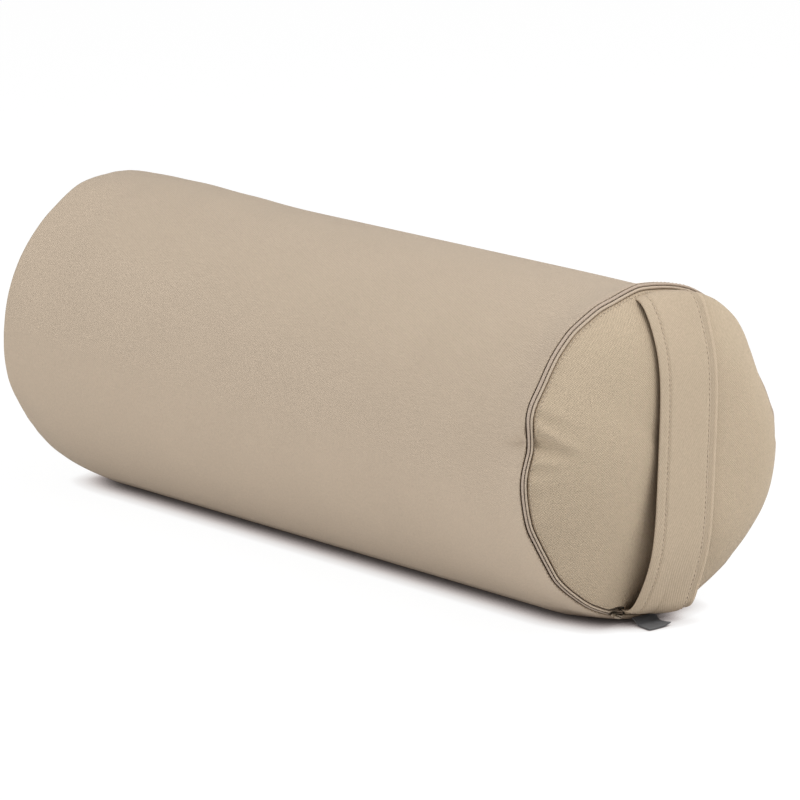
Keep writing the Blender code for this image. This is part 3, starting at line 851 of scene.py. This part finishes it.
def panel_rim(degrees, end):
    """An end panel's radius at its edge, and how far its edge is from the seam."""
    edge = cloth_edge(degrees, 1) if end > 0 else PLAIN_EDGE + 0 * degrees
    return SEAM_RADIUS - edge * math.sin(ZIP_TILT), edge * math.cos(ZIP_TILT)


def dome_place(degrees, distance, end, puckers):
    """Points on an end panel at a distance inwards from its edge."""
    fullness = look_up(DOME_FULLNESS, degrees) if end > 0 else DOME_POWER
    rim, rim_along = panel_rim(degrees, end)
    share = np.clip(1 - distance / rim, 0, 1)
    along = rim_along + (DOME_DEPTH - rim_along) * (1 - share**fullness)
    along = along + pucker_height(puckers, degrees, distance)
    fold = fold_depth(distance) * (look_up(RIM_FOLD, degrees) if end > 0 else 1)
    along = along - fold * math.sin(ZIP_TILT)
    out = rim * share - SEAM_RADIUS - fold * math.cos(ZIP_TILT)
    if end > 0:
        along = along + look_up(DOME_LEAN, degrees) * LEAN_SCALE * share * (1 - share**2)
        side_bulge = look_up(DOME_BULGE, degrees) * hump(distance, BULGE_PEAK)
        along = along + side_bulge * (1 - (1 - share) ** BULGE_FADE)
        out = out + end_wander(degrees, share)
        out = out + look_up(END_SWELL, degrees) * hump(distance, SWELL_PEAK)
    else:
        out = out + look_up(PLAIN_WANDER, degrees) * share**BROAD_FADE
    return ring(degrees, along, out, end)


def dome_grid(end, puckers):
    degrees = round_degrees()[None, :]
    inwards = np.linspace(0, 1, DOME_ROWS)[:, None] ** DOME_CROWDING
    points = dome_place(degrees, panel_rim(degrees, end)[0] * inwards, end, puckers)
    return points, points[..., 1:]


for name, end, puckers, node in (
    ("bolster_zip_end", 1, END_PUCKERS, "cover_zip_end_panel"),
    ("bolster_plain_end", -1, PLAIN_PUCKERS, "cover_plain_end_panel"),
):
    points, flat = dome_grid(end, puckers)
    panel = sheet(name, points, flat, end_twill)
    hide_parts(node)
    print(name, "faces:", len(panel.data.polygons))

# %% [markdown]
# ## Swept pieces
# The zip's tapes and coils are outlines drawn along the seam, and the strap and the tag
# are outlines drawn along lines of their own. A function that skins a list of closed
# sections makes them all.

# %% Sweeping a section
SHARP_ANGLE = math.radians(50)


def swept(name, sections, flat, material, node):
    """A closed solid through closed sections, with a face at each end."""
    count, sides = sections.shape[:2]
    mesh = grid_mesh(name, np.concatenate([sections, sections[:, :1]], axis=1), flat)
    mesh_maker = bmesh.new()
    mesh_maker.from_mesh(mesh)
    mesh_maker.verts.ensure_lookup_table()
    for start in (0, (count - 1) * sides):
        mesh_maker.faces.new([mesh_maker.verts[start + side] for side in range(sides)])
    mesh_maker.to_mesh(mesh)
    mesh_maker.free()
    tidy_mesh(mesh)
    mesh.set_sharp_from_angle(angle=SHARP_ANGLE)
    made = add_object(name, mesh, material)
    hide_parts(node)


def lengths_along(line):
    """Distances along a line of points, from 0 at the first."""
    steps = np.linalg.norm(np.diff(line, axis=0), axis=1)
    return np.concatenate([[0], np.cumsum(steps)])


def lengthwise(count, sides, length, girth):
    """Flat coordinates for a swept piece: along it, and round its section."""
    along, round_it = np.meshgrid(
        np.linspace(0, length, count), np.linspace(0, girth, sides + 1), indexing="ij"
    )
    return np.stack([along, round_it], -1)


print("edges sharper than", round(math.degrees(SHARP_ANGLE)), "degrees stay sharp")

# %% [markdown]
# ## The zip
# Two rolled edges hide the coils, so the photograph shows two pale ridges with a dark line
# between. Each tape is a ridge and a band that slopes away behind the cloth. Both tapes are
# one cloth, and the outer ridge's pinker and darker copy of its colour is painted shade.

# %% Zip tapes
BEAD_INNER = 0.00015
BEAD_PARTED = 0.00050
PARTED_WIDTH = 4.5
SLIDER_STOPS = (162.5, -89.8)
BEAD_OUTER = 0.00225
BEAD_RISE = 0.00100
BEAD_DEPTH = 0.0015
BEAD_SINK = 0.0026
BEAD_SINK_START = 159.5
BEAD_SINK_LENGTH = 2.5
BAND_DEPTH = 0.0021
BAND_THICKNESS = 0.0004
BAND_REACH = 0.0048
BAND_FALL = 0.0021
BAND_IN_POCKET = 0.0016
POCKET_MARGIN = 1
BEAD_POINTS = 9
TAPE_STEPS = 263
TAPE_STEP_LENGTH = 0.0019
TAPE_GIRTH = 0.012
# The outer ridge's colour is the inner one's made pinker and darker: painted shade.
OUTER_RIDGE_PAINTED_SHADE = (0.520, 0.420, 0.335)
INNER_RIDGE = (0.570, 0.468, 0.362)


def bead_outline(degrees):
    """Points across a tape at one angle.

    The edges part where the slider stands, and sink into the cloth's pocket at the closed
    end.
    """
    stop = max(plateau((degrees - place) / PARTED_WIDTH) for place in SLIDER_STOPS)
    inner = BEAD_INNER + (BEAD_PARTED - BEAD_INNER) * stop
    outer = BEAD_OUTER * float(look_up(ZIP_WIDTH, degrees))
    pocket = plateau((degrees - POCKET_MIDDLE) / (POCKET_WIDTH + POCKET_MARGIN))
    reach = BAND_REACH + (BAND_IN_POCKET - BAND_REACH) * pocket
    sunk = BEAD_SINK * min(1, max(0, (degrees - BEAD_SINK_START) / BEAD_SINK_LENGTH))
    middle, half_width = (inner + outer) / 2, (outer - inner) / 2
    top = [
        (middle + half_width * math.cos(turn), BEAD_RISE * math.sin(turn) - sunk)
        for turn in np.linspace(np.pi, 0, BEAD_POINTS)
    ]
    far = -BAND_DEPTH - BAND_FALL * (reach - outer) / (BAND_REACH - outer)
    band = [
        (outer, -BAND_DEPTH - sunk), (reach, far - sunk), (reach, far - BAND_THICKNESS - sunk),
        (outer - BAND_THICKNESS, -BAND_DEPTH - BAND_THICKNESS - sunk), (inner, -BEAD_DEPTH - sunk),
    ]
    return np.array(top + band)


def zip_tape(name, side, colour, node):
    degrees = np.linspace(TAPE_START, TAPE_END, TAPE_STEPS)
    outlines = np.array([bead_outline(angle) for angle in degrees])
    sections = zip_place(degrees[:, None], side * outlines[..., 0], outlines[..., 1])
    count, sides = sections.shape[:2]
    flat = lengthwise(count, sides, count * TAPE_STEP_LENGTH, TAPE_GIRTH)
    material = twill(name + "_cloth", colour, slant=90, spread=0.05)
    swept(name, sections, flat, material, node)


zip_tape("zip_ridge_body_side", -1, OUTER_RIDGE_PAINTED_SHADE, "zip_tape_body_side")
zip_tape("zip_ridge_end_side", 1, INNER_RIDGE, "zip_tape_end_side")
print("zip ridges:", round(BEAD_OUTER - BEAD_INNER, 4), "m wide")

# %% [markdown]
# The coils are nylon: satin, and a little see-through in life. They follow the wandering
# seam, so they are made again here with the same teeth as the solids. Only the last teeth
# at the far end stand apart, because the slider's post comes to rest between them.

# %% Zip coils
CHAIN_START = 160.0
CHAIN_END = -92.3
APART_FROM = -87.3
COIL_PITCH = 0.004
COIL_REACH = 0.0007
COIL_CLEARANCE = 0.0004
COIL_BACK = 0.0017
COIL_TOP = -0.00214
COIL_BOTTOM = -0.00339
COIL_GIRTH = 0.005
SPECK_DETAIL = 3.0
SPECK_ROUGHNESS = 0.25
SPECK_SPREAD = 0.12
NYLON_BEIGE = (0.42, 0.34, 0.24)


def speckled(name, colour, roughness, metallic, size, relief):
    """A hard finish whose colour, roughness and height vary over small specks."""
    hard = new_finish(name)
    place = hard.add("ShaderNodeTexCoord", output="Object")
    specks = hard.noise(place, size, detail=SPECK_DETAIL)
    dark, light = darker(colour, 1 - SPECK_SPREAD), darker(colour, 1 + SPECK_SPREAD)
    hard.shade(
        Base_Color=hard.mix(specks, dark, light),
        Roughness=roughness + (specks - 0.5) * SPECK_ROUGHNESS,
        Metallic=metallic,
        Normal=hard.bump(specks, relief),
    )
    return hard.owner


nylon = speckled(
    "beige_nylon", NYLON_BEIGE, roughness=0.45, metallic=0.0, size=0.0015, relief=0.00003
)


def coil_row(name, side, node):
    steps = 2 * int(math.radians(CHAIN_START - CHAIN_END) * SEAM_RADIUS / COIL_PITCH)
    degrees = CHAIN_START - np.degrees(np.arange(steps + 1) * COIL_PITCH / 2 / SEAM_RADIUS)
    at_tip = ((np.arange(steps + 1) % 2 == 0) == (side > 0)) & (degrees > APART_FROM)
    face = side * np.where(at_tip, -COIL_REACH, COIL_REACH + COIL_CLEARANCE)
    behind = np.full(steps + 1, side * COIL_BACK)
    across = np.stack([behind, behind, face, face], 1)
    proud = np.array([COIL_BOTTOM, COIL_TOP, COIL_TOP, COIL_BOTTOM])[None, :]
    sections = zip_place(degrees[:, None], across, proud)
    flat = lengthwise(steps + 1, across.shape[1], steps * COIL_PITCH / 2, COIL_GIRTH)
    swept(name, sections, flat, nylon, node)


coil_row("coil_body_side", -1, "zip_coil_body_side")
coil_row("coil_end_side", 1, "zip_coil_end_side")
print("coil rows: 2")

# %% [markdown]
# ## Metal
# The slider, the pull and the three stops keep their solids, since a metal part has a
# true shape. Cast zinc is plated in a dull brown that goes with the cloth.

# %% Metal finish
ZINC_BROWN = (0.30, 0.25, 0.19)
zinc = speckled(
    "plated_zinc", ZINC_BROWN, roughness=0.42, metallic=0.8, size=0.0012, relief=0.00002
)
METAL_NODES = (
    "zip_slider", "zip_pull_tab", "zip_bottom_stop",
    "zip_top_stop_body_side", "zip_top_stop_end_side",
)
for node in METAL_NODES:
    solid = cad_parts[node].data
    solid.materials.clear()
    solid.materials.append(zinc)
print("metal pieces:", len(METAL_NODES))

# %% [markdown]
# ## The carry strap
# The strap is a band folded in thirds and stitched along both edges, so it is thick in
# the middle and drawn down along each row of stitches. It leaves the seam at the top,
# bows over the dome with room for a hand, and goes back into the seam at the bottom. A
# power of the height gives the bow its square shoulders, and just before each seam the
# cloth stands up in a small lump.

# %% The strap's bow
STRAP_WIDTH = 0.050
STRAP_THICKNESS = 0.0024
STRAP_POWER = 4.5
STRAP_ARCH_POWER = 4.0
STRAP_START = 0.002763
STRAP_END_HEIGHT = 0.104880
STRAP_BOW = 0.0294
STRAP_TURN = math.radians(3.6)
STRAP_SHIFT = 0.002
STRAP_STEPS = 130
END_LUMP_PLACE = 0.055
TOP_LUMPS = (0.0028, 0.0066)
FOOT_LUMPS = (0.0040, 0.0080)
LUMP_POWERS = (1.5, 0.6)
LUMP_FROM = -0.005


def end_lump(share, across):
    """How far the strap stands up just before its seams, more so at the right corners."""
    place = (1 - np.abs(share)) / END_LUMP_PLACE
    corner = np.clip((across - LUMP_FROM) / (STRAP_WIDTH / 2 - LUMP_FROM), 0, 1)
    corner = corner ** np.where(share > 0, *LUMP_POWERS)
    left, right_side = (np.where(share > 0, TOP_LUMPS[i], FOOT_LUMPS[i]) for i in (0, 1))
    return (left + (right_side - left) * corner) * place * np.exp(1 - place)


def strap_place(share, across, lift):
    """Points on the strap: share runs from 1 at its top to -1 at its foot."""
    height = STRAP_END_HEIGHT * share
    lift = lift + end_lump(share, across)
    along = STRAP_START + STRAP_BOW * (1 - np.abs(share) ** STRAP_POWER)
    lean = STRAP_POWER * STRAP_BOW / STRAP_END_HEIGHT
    lean = lean * np.sign(share) * np.abs(share) ** (STRAP_POWER - 1)
    length = np.sqrt(1 + lean**2)
    reach = across + STRAP_SHIFT
    arch = STRAP_END_HEIGHT - np.sqrt(STRAP_END_HEIGHT**2 - reach**2)
    level = height + lift * lean / length
    level = level - np.sign(share) * arch * np.abs(share) ** STRAP_ARCH_POWER
    y = STRAP_SHIFT + across * math.cos(STRAP_TURN) + level * math.sin(STRAP_TURN)
    z = RING_Z + level * math.cos(STRAP_TURN) - across * math.sin(STRAP_TURN)
    return np.stack(np.broadcast_arrays(SEAM_X + along + lift / length, y, z), -1)


print("strap stands", STRAP_START + STRAP_BOW, "m off the seam")

# %% [markdown]
# The section is drawn once and carried along the bow. Its top dips at the two rows of
# stitches, and outside the right row the band is thinner, with a raised line at its very
# edge. The long edges are folds, so they are round.

# %% The strap's section
STITCH_ROWS = (-0.0176, 0.0172)
STITCH_DIP = 0.00060
STITCH_DIP_WIDTH = 0.0012
EDGE_STRIP = 0.0180
EDGE_STRIP_DROP = 0.0010
EDGE_LINE = 0.0028
EDGE_LINE_DROP = 0.0007
EDGE_SLOPE = 0.0004
LEFT_EDGE_FALL = 0.0012
LEFT_EDGE_POWER = 1.5
FOLD_POINTS = 7
FOLD_GAP = 0.0002
TOP_POINTS = 96
UNDER_POINTS = 24


def strap_top(across):
    """The strap's top across it: dips at the stitch rows, and a thinner strip at the right."""
    half_width = STRAP_WIDTH / 2
    dips = sum(
        STITCH_DIP * np.exp(-(((across - row) / STITCH_DIP_WIDTH) ** 2)) for row in STITCH_ROWS
    )
    in_strip = np.clip((across - EDGE_STRIP) / EDGE_SLOPE, 0, 1)
    on_line = np.clip((across - half_width + EDGE_LINE) / EDGE_SLOPE, 0, 1)
    from_left = np.clip((STITCH_ROWS[0] - across) / (half_width + STITCH_ROWS[0]), 0, 1)
    fall = EDGE_STRIP_DROP * in_strip - (EDGE_STRIP_DROP - EDGE_LINE_DROP) * on_line
    fall = fall + LEFT_EDGE_FALL * from_left**LEFT_EDGE_POWER
    return STRAP_THICKNESS - dips - fall


def strap_outline():
    """The strap's section: its shaped top, then a round fold at each long edge."""
    half_width = STRAP_WIDTH / 2

    def fold(side):
        radius = strap_top(side * half_width) / 2
        centre = side * (half_width - radius)
        turns = np.radians(np.linspace(90, -90, FOLD_POINTS))[1:-1]
        return [
            (centre + side * radius * math.cos(turn), radius + radius * math.sin(turn))
            for turn in turns
        ]

    left, right_side = fold(-1), fold(1)
    inner_left, inner_right = left[0][0] + FOLD_GAP, right_side[0][0] - FOLD_GAP
    over = np.linspace(inner_right, inner_left, TOP_POINTS)
    top = [(across, float(strap_top(across))) for across in over]
    under = [(across, 0.0) for across in np.linspace(inner_left, inner_right, UNDER_POINTS)]
    return np.array(top + left + under + right_side[::-1])


outline = strap_outline()
print("points round the strap:", len(outline))

# %% [markdown]
# The strip outside the right stitches lies lower, so shade is painted on it, and a highlight
# is painted on its raised edge. The flat coordinates across the strap say where they are.

# %% Carry strap
# The strap is the same cloth too; its darker copy of the colour is painted shade.
STRAP_BEIGE_PAINTED_SHADE = (0.511, 0.409, 0.297)
STRIP_PAINTED_SHADE = -0.26
STRIP_BLUR = 0.0005
EDGE_PAINTED_HIGHLIGHT = 0.58
LINE_BLUR = 0.0004


def strap_painted_light(along, across):
    """Painted shade on the strip and a painted highlight on its edge, from the flat cloth's
    coordinates.
    """
    strip = across.above(EDGE_STRIP, STRIP_BLUR)
    line = across.above(STRAP_WIDTH / 2 - EDGE_LINE, LINE_BLUR)
    return strip * STRIP_PAINTED_SHADE + line * EDGE_PAINTED_HIGHLIGHT


strap_twill = twill("strap_twill", STRAP_BEIGE_PAINTED_SHADE, slant=30, spread=0.16, tone=strap_painted_light)
shares = np.cos(np.pi * np.arange(STRAP_STEPS + 1) / STRAP_STEPS)[:, None]
sections = strap_place(shares, outline[:, 0], outline[:, 1])
strap_lengths = lengths_along(strap_place(shares[:, 0], 0.0, 0.0))
wrapped = np.vstack([outline, outline[:1]])
flat = np.stack(np.broadcast_arrays(strap_lengths[:, None], wrapped[None, :, 0]), -1)
swept("strap_band", sections, flat, strap_twill, "carry_strap")
print("strap length:", round(float(strap_lengths[-1]), 3), "m")

# %% [markdown]
# ## Stitches
# A row of stitches could be a texture, but up close each stitch is a small raised thread.
# A thread is drawn as a short round grain, bent down into the cloth at both ends, and one
# mesh holds the whole row.

# %% One stitch
THREAD = 0.00038
THREAD_SIDES = 6
GRAIN_ROWS = 5
GRAIN_TIP = 0.35
GRAIN_ARCH = 1.1
GRAIN_SINK = 0.5
THREAD_BEIGE = (0.60, 0.50, 0.385)
thread_finish = twill("sewing_thread", THREAD_BEIGE, slant=20, spread=0.10)


def grain(start, end, outward):
    """Sections of one stitch between two points, arched a little outwards."""
    forward = (end - start) / np.linalg.norm(end - start)
    side = np.cross(outward, forward)
    side /= np.linalg.norm(side)
    lift = np.cross(forward, side)
    turns = 2 * np.pi * np.arange(THREAD_SIDES) / THREAD_SIDES
    sections = []
    for share in np.linspace(0, 1, GRAIN_ROWS):
        swell = math.sin(math.pi * share)
        girth = THREAD * (GRAIN_TIP + (1 - GRAIN_TIP) * swell)
        rise = THREAD * (GRAIN_ARCH * swell - GRAIN_SINK)
        centre = start + (end - start) * share + lift * rise
        sections.append([
            centre + girth * (side * math.cos(turn) + lift * math.sin(turn)) for turn in turns
        ])
    return sections


print("thread:", THREAD * 2, "m thick")

# %% [markdown]
# A row follows a line of close points on the cloth. Each point comes with the direction
# that is outwards there, so that the stitches lie on the cloth wherever it turns.

# %% Rows of stitches
STITCH_LENGTH = 0.0026
STITCH_STEP = 0.0034
SHARE_LIMIT = 0.985
STRAP_LINE_POINTS = 400


def stitch_row(name, line, outward):
    """Stitches along a line of points, with the cloth's outward direction at each."""
    lengths = lengths_along(line)

    def between(values, place):
        return np.array([np.interp(place, lengths, values[:, axis]) for axis in range(3)])

    vertices, faces = [], []
    for begin in np.arange(0, lengths[-1] - STITCH_LENGTH, STITCH_STEP):
        ends = between(line, begin), between(line, begin + STITCH_LENGTH)
        first = len(vertices)
        rows = grain(*ends, between(outward, begin))
        for row in rows:
            vertices.extend(row)
        for row in range(len(rows) - 1):
            for side in range(THREAD_SIDES):
                after = (side + 1) % THREAD_SIDES
                low, high = first + row * THREAD_SIDES, first + (row + 1) * THREAD_SIDES
                faces.append((low + side, low + after, high + after, high + side))
        faces.append(tuple(first + side for side in range(THREAD_SIDES)))
        last = first + (len(rows) - 1) * THREAD_SIDES
        faces.append(tuple(last + side for side in reversed(range(THREAD_SIDES))))
    mesh = bpy.data.meshes.new(name)
    mesh.from_pydata([tuple(vertex) for vertex in vertices], [], faces)
    weave = mesh.uv_layers.new(name="weave")
    corners = [mesh.vertices[loop.vertex_index].co for loop in mesh.loops]
    weave.data.foreach_set("uv", np.array([(c.y + c.x, c.z) for c in corners]).ravel())
    tidy_mesh(mesh)
    print(name, "faces:", len(mesh.polygons))
    add_object(name, mesh, thread_finish)


turn_limits = math.acos(SHARE_LIMIT), math.acos(-SHARE_LIMIT)
fine_shares = np.cos(np.linspace(*turn_limits, STRAP_LINE_POINTS))
for row, across in enumerate(STITCH_ROWS):
    surface = strap_place(fine_shares, across, strap_top(across))
    outward = surface - strap_place(fine_shares, across, 0.0)
    stitch_row(f"strap_stitches_{row}", surface, outward)

# %% [markdown]
# Two more rows run round the zip, where its tapes are sewn to the cover: one on the body
# panel and one on the end panel. They follow the cloth's shoulder, its puckers and the
# dome.

# %% Zip stitches
STITCH_FROM_EDGE = 0.0014
STITCHES_START = POCKET_MIDDLE - POCKET_WIDTH - 3
STITCHES_END = TAPE_END + 2
ZIP_LINE_POINTS = 900
OUTWARD_STEP = 0.01


def zip_stitches(name, side):
    degrees = np.linspace(STITCHES_START, STITCHES_END, ZIP_LINE_POINTS)
    if side > 0:
        line = dome_place(degrees, STITCH_FROM_EDGE, 1, END_PUCKERS)
    else:
        edge = cloth_edge(degrees, -1)
        edge_back = edge * math.cos(ZIP_TILT)
        from_zip = edge_back + STITCH_FROM_EDGE
        left = (SHOULDER_BACK - from_zip) / (SHOULDER_BACK - edge_back)
        rise = shoulder_rise(edge, left) + pucker_height(BODY_PUCKERS, degrees, STITCH_FROM_EDGE)
        line = body_place(degrees, SEAM_X - from_zip, rise)
    outward = zip_place(degrees, 0.0, OUTWARD_STEP) - zip_place(degrees, 0.0, 0.0)
    stitch_row(name, line, outward)


zip_stitches("zip_stitches_body_side", -1)
zip_stitches("zip_stitches_end_side", 1)

# %% [markdown]
# ## The woven tag
# A folded charcoal ribbon is sewn under the strap's foot, and droops to the floor. It is
# woven plainly, over one and under one, so its fine ribs run both ways. Two sines, one
# along and one across, multiply to that chequer.

# %% Ribbon finish
TAG_CHARCOAL = (0.087, 0.087, 0.091)
RIBBON_PITCH = 0.0009
RIBBON_SPREAD = 0.2
RIBBON_ROUGHNESS = 0.85
RIBBON_SHEEN = 0.2


def ribbon(name, colour, pitch):
    """Plain-woven ribbon: fine ribs both ways."""
    cloth = new_finish(name)
    flat = cloth.add("ShaderNodeUVMap", {"uv_map": "weave"})
    turn = 2 * math.pi / pitch
    ribs = []
    for axis in (0, 1):
        place = cloth.add("ShaderNodeSeparateXYZ", inputs={0: flat}, output=axis)
        ribs.append((place * turn).sine())
    weave = ribs[0] * ribs[1]
    dark, light = darker(colour, 1 - RIBBON_SPREAD), darker(colour, 1 + RIBBON_SPREAD)
    cloth.shade(
        Base_Color=cloth.mix((weave * 0.5 + 0.5).clamped(), dark, light),
        Roughness=RIBBON_ROUGHNESS - weave * ROUGHNESS_RANGE,
        Sheen_Weight=RIBBON_SHEEN,
        Normal=cloth.bump(weave, FINE_RELIEF),
    )
    return cloth.owner


charcoal = ribbon("charcoal_ribbon", TAG_CHARCOAL, RIBBON_PITCH)
print("ribs of the ribbon:", round(1 / RIBBON_PITCH), "per metre")

# %% [markdown]
# The ribbon's two layers lie flat on one another, so one thin solid stands for both. A
# free corner lifts, as it does on any soft ribbon.

# %% Tag
TAG_WIDTH = 0.019
TAG_THICKNESS = 0.0008
TAG_REACH = 0.019
TAG_FALL = 0.008
TAG_SHIFT = 0.0083
TAG_SKEW = 0.002
TAG_ROOT = 0.0003
TAG_REST = 0.0001
TAG_TOP = 0.0045
TAG_CURL = 0.0016
TAG_CURL_POWER = 3
TAG_STEPS = 40
TAG_COLUMNS = 16

reach = np.linspace(0, TAG_REACH, TAG_STEPS + 1)[:, None]
drop = (1 + np.cos(np.pi * np.minimum(1, reach / TAG_FALL))) / 2
rest = TAG_REST + TAG_THICKNESS
tag_top = rest + (TAG_TOP - rest) * drop
width = TAG_WIDTH / 2 * np.linspace(-1, 1, TAG_COLUMNS + 1)[None, :]
to_corner = np.clip(width / (TAG_WIDTH / 2), 0, 1) ** 2
curl = TAG_CURL * (reach / TAG_REACH) ** TAG_CURL_POWER * to_corner
middle = -TAG_SHIFT - TAG_SKEW * reach / TAG_REACH


def tag_layer(below):
    height = tag_top + curl - below
    return np.stack(np.broadcast_arrays(SEAM_X + TAG_ROOT + reach, middle + width, height), -1)


upper, lower = tag_layer(0.0), tag_layer(TAG_THICKNESS)
tag_sections = np.concatenate([upper, lower[:, ::-1]], axis=1)
tag_sides = tag_sections.shape[1]
tag_flat = lengthwise(TAG_STEPS + 1, tag_sides, TAG_REACH, 2 * TAG_WIDTH)
swept("charcoal_tag", tag_sections, tag_flat, charcoal, "woven_tag")
print("tag:", TAG_WIDTH, "by", TAG_REACH, "m")

# %% [markdown]
# ## Inside: liner and filling
# When the zip opens, an undyed calico liner and its fibre are what is there. They follow
# the cover's dents, so they are made from the same surfaces a little further in, with
# fewer faces because nobody sees them while the cover is closed.

# %% Liner
LINER_STEP = 6.0
LINER_EASE = 0.0024
LINER_TUCK = 0.0075
LINER_SHORTER = 0.0065
LINER_DOME = 0.0255
LINER_ROWS = 25
LINER_DOME_ROWS = 14
LINER_TUCK_LENGTH = 0.0135
LINER_GAP = 0.0003
LINER_WHITE = (0.72, 0.67, 0.56)


def calico(name, colour):
    return twill(name, colour, slant=0, spread=0.06)


def inner_body(extra):
    degrees = np.arange(-180, 180 + LINER_STEP / 2, LINER_STEP)[None, :]
    ends = SEAM_X - LINER_SHORTER - extra
    x = ends * np.sin(np.linspace(np.pi / 2, -np.pi / 2, LINER_ROWS))[:, None] + 0 * degrees
    inward = np.clip((SEAM_X - np.abs(x) - LINER_SHORTER) / LINER_TUCK_LENGTH, 0, 1)
    inset = LINER_TUCK + (LINER_EASE - LINER_TUCK) * inward + extra
    points = body_place(degrees, x, 0.0, inset)
    return points, np.stack([x, np.radians(degrees) * SEAM_RADIUS + 0 * x], -1)


def inner_dome(rim_row, end, extra):
    share = np.linspace(1, 0, LINER_DOME_ROWS)[:, None]
    middle = rim_row[:-1].mean(axis=0)
    across = middle[None, None, :] + (rim_row[None] - middle) * share[..., None]
    rim_x = rim_row[0, 0]
    crown = end * (SEAM_X + LINER_DOME - extra)
    across[..., 0] = rim_x + (crown - rim_x) * (1 - share**DOME_POWER)
    return across, across[..., 1:]


liner_cloth = calico("undyed_calico", LINER_WHITE)
liner_points, liner_flat = inner_body(0.0)
liner = sheet("liner_body", liner_points, liner_flat, liner_cloth)
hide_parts("liner_body_panel")
for name, end, node in (
    ("liner_zip_end", 1, "liner_zip_end_panel"),
    ("liner_plain_end", -1, "liner_plain_end_panel"),
):
    rim_row = liner_points[0 if end > 0 else -1] + np.array([end * LINER_GAP, 0, 0])
    dome_points, dome_flat = inner_dome(rim_row, end, 0.0)
    dome = sheet(name, dome_points, dome_flat, liner_cloth)
    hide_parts(node)
print("liner faces:", len(liner.data.polygons))

# %% [markdown]
# The filling is one closed mass: the liner's body and both its domes, a little smaller and
# joined into one grid.

# %% Filling
FILLING_EASE = 0.0010
FIBRE_WHITE = (0.80, 0.76, 0.66)

fibre = calico("packed_fibre", FIBRE_WHITE)
fill_points, fill_flat = inner_body(FILLING_EASE)
zip_dome = inner_dome(fill_points[0], 1, FILLING_EASE * 2)
plain_dome = inner_dome(fill_points[-1], -1, FILLING_EASE * 2)
mass_points = np.concatenate([zip_dome[0][:0:-1], fill_points, plain_dome[0][1:]])
mass_flat = np.concatenate([zip_dome[1][:0:-1], fill_flat, plain_dome[1][1:]])
mass_mesh = grid_mesh("fibre_mass", mass_points, mass_flat)
tidy_mesh(mass_mesh)
mass = add_object("fibre_mass", mass_mesh, fibre)
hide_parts("filling")
print("filling faces:", len(mass_mesh.polygons))
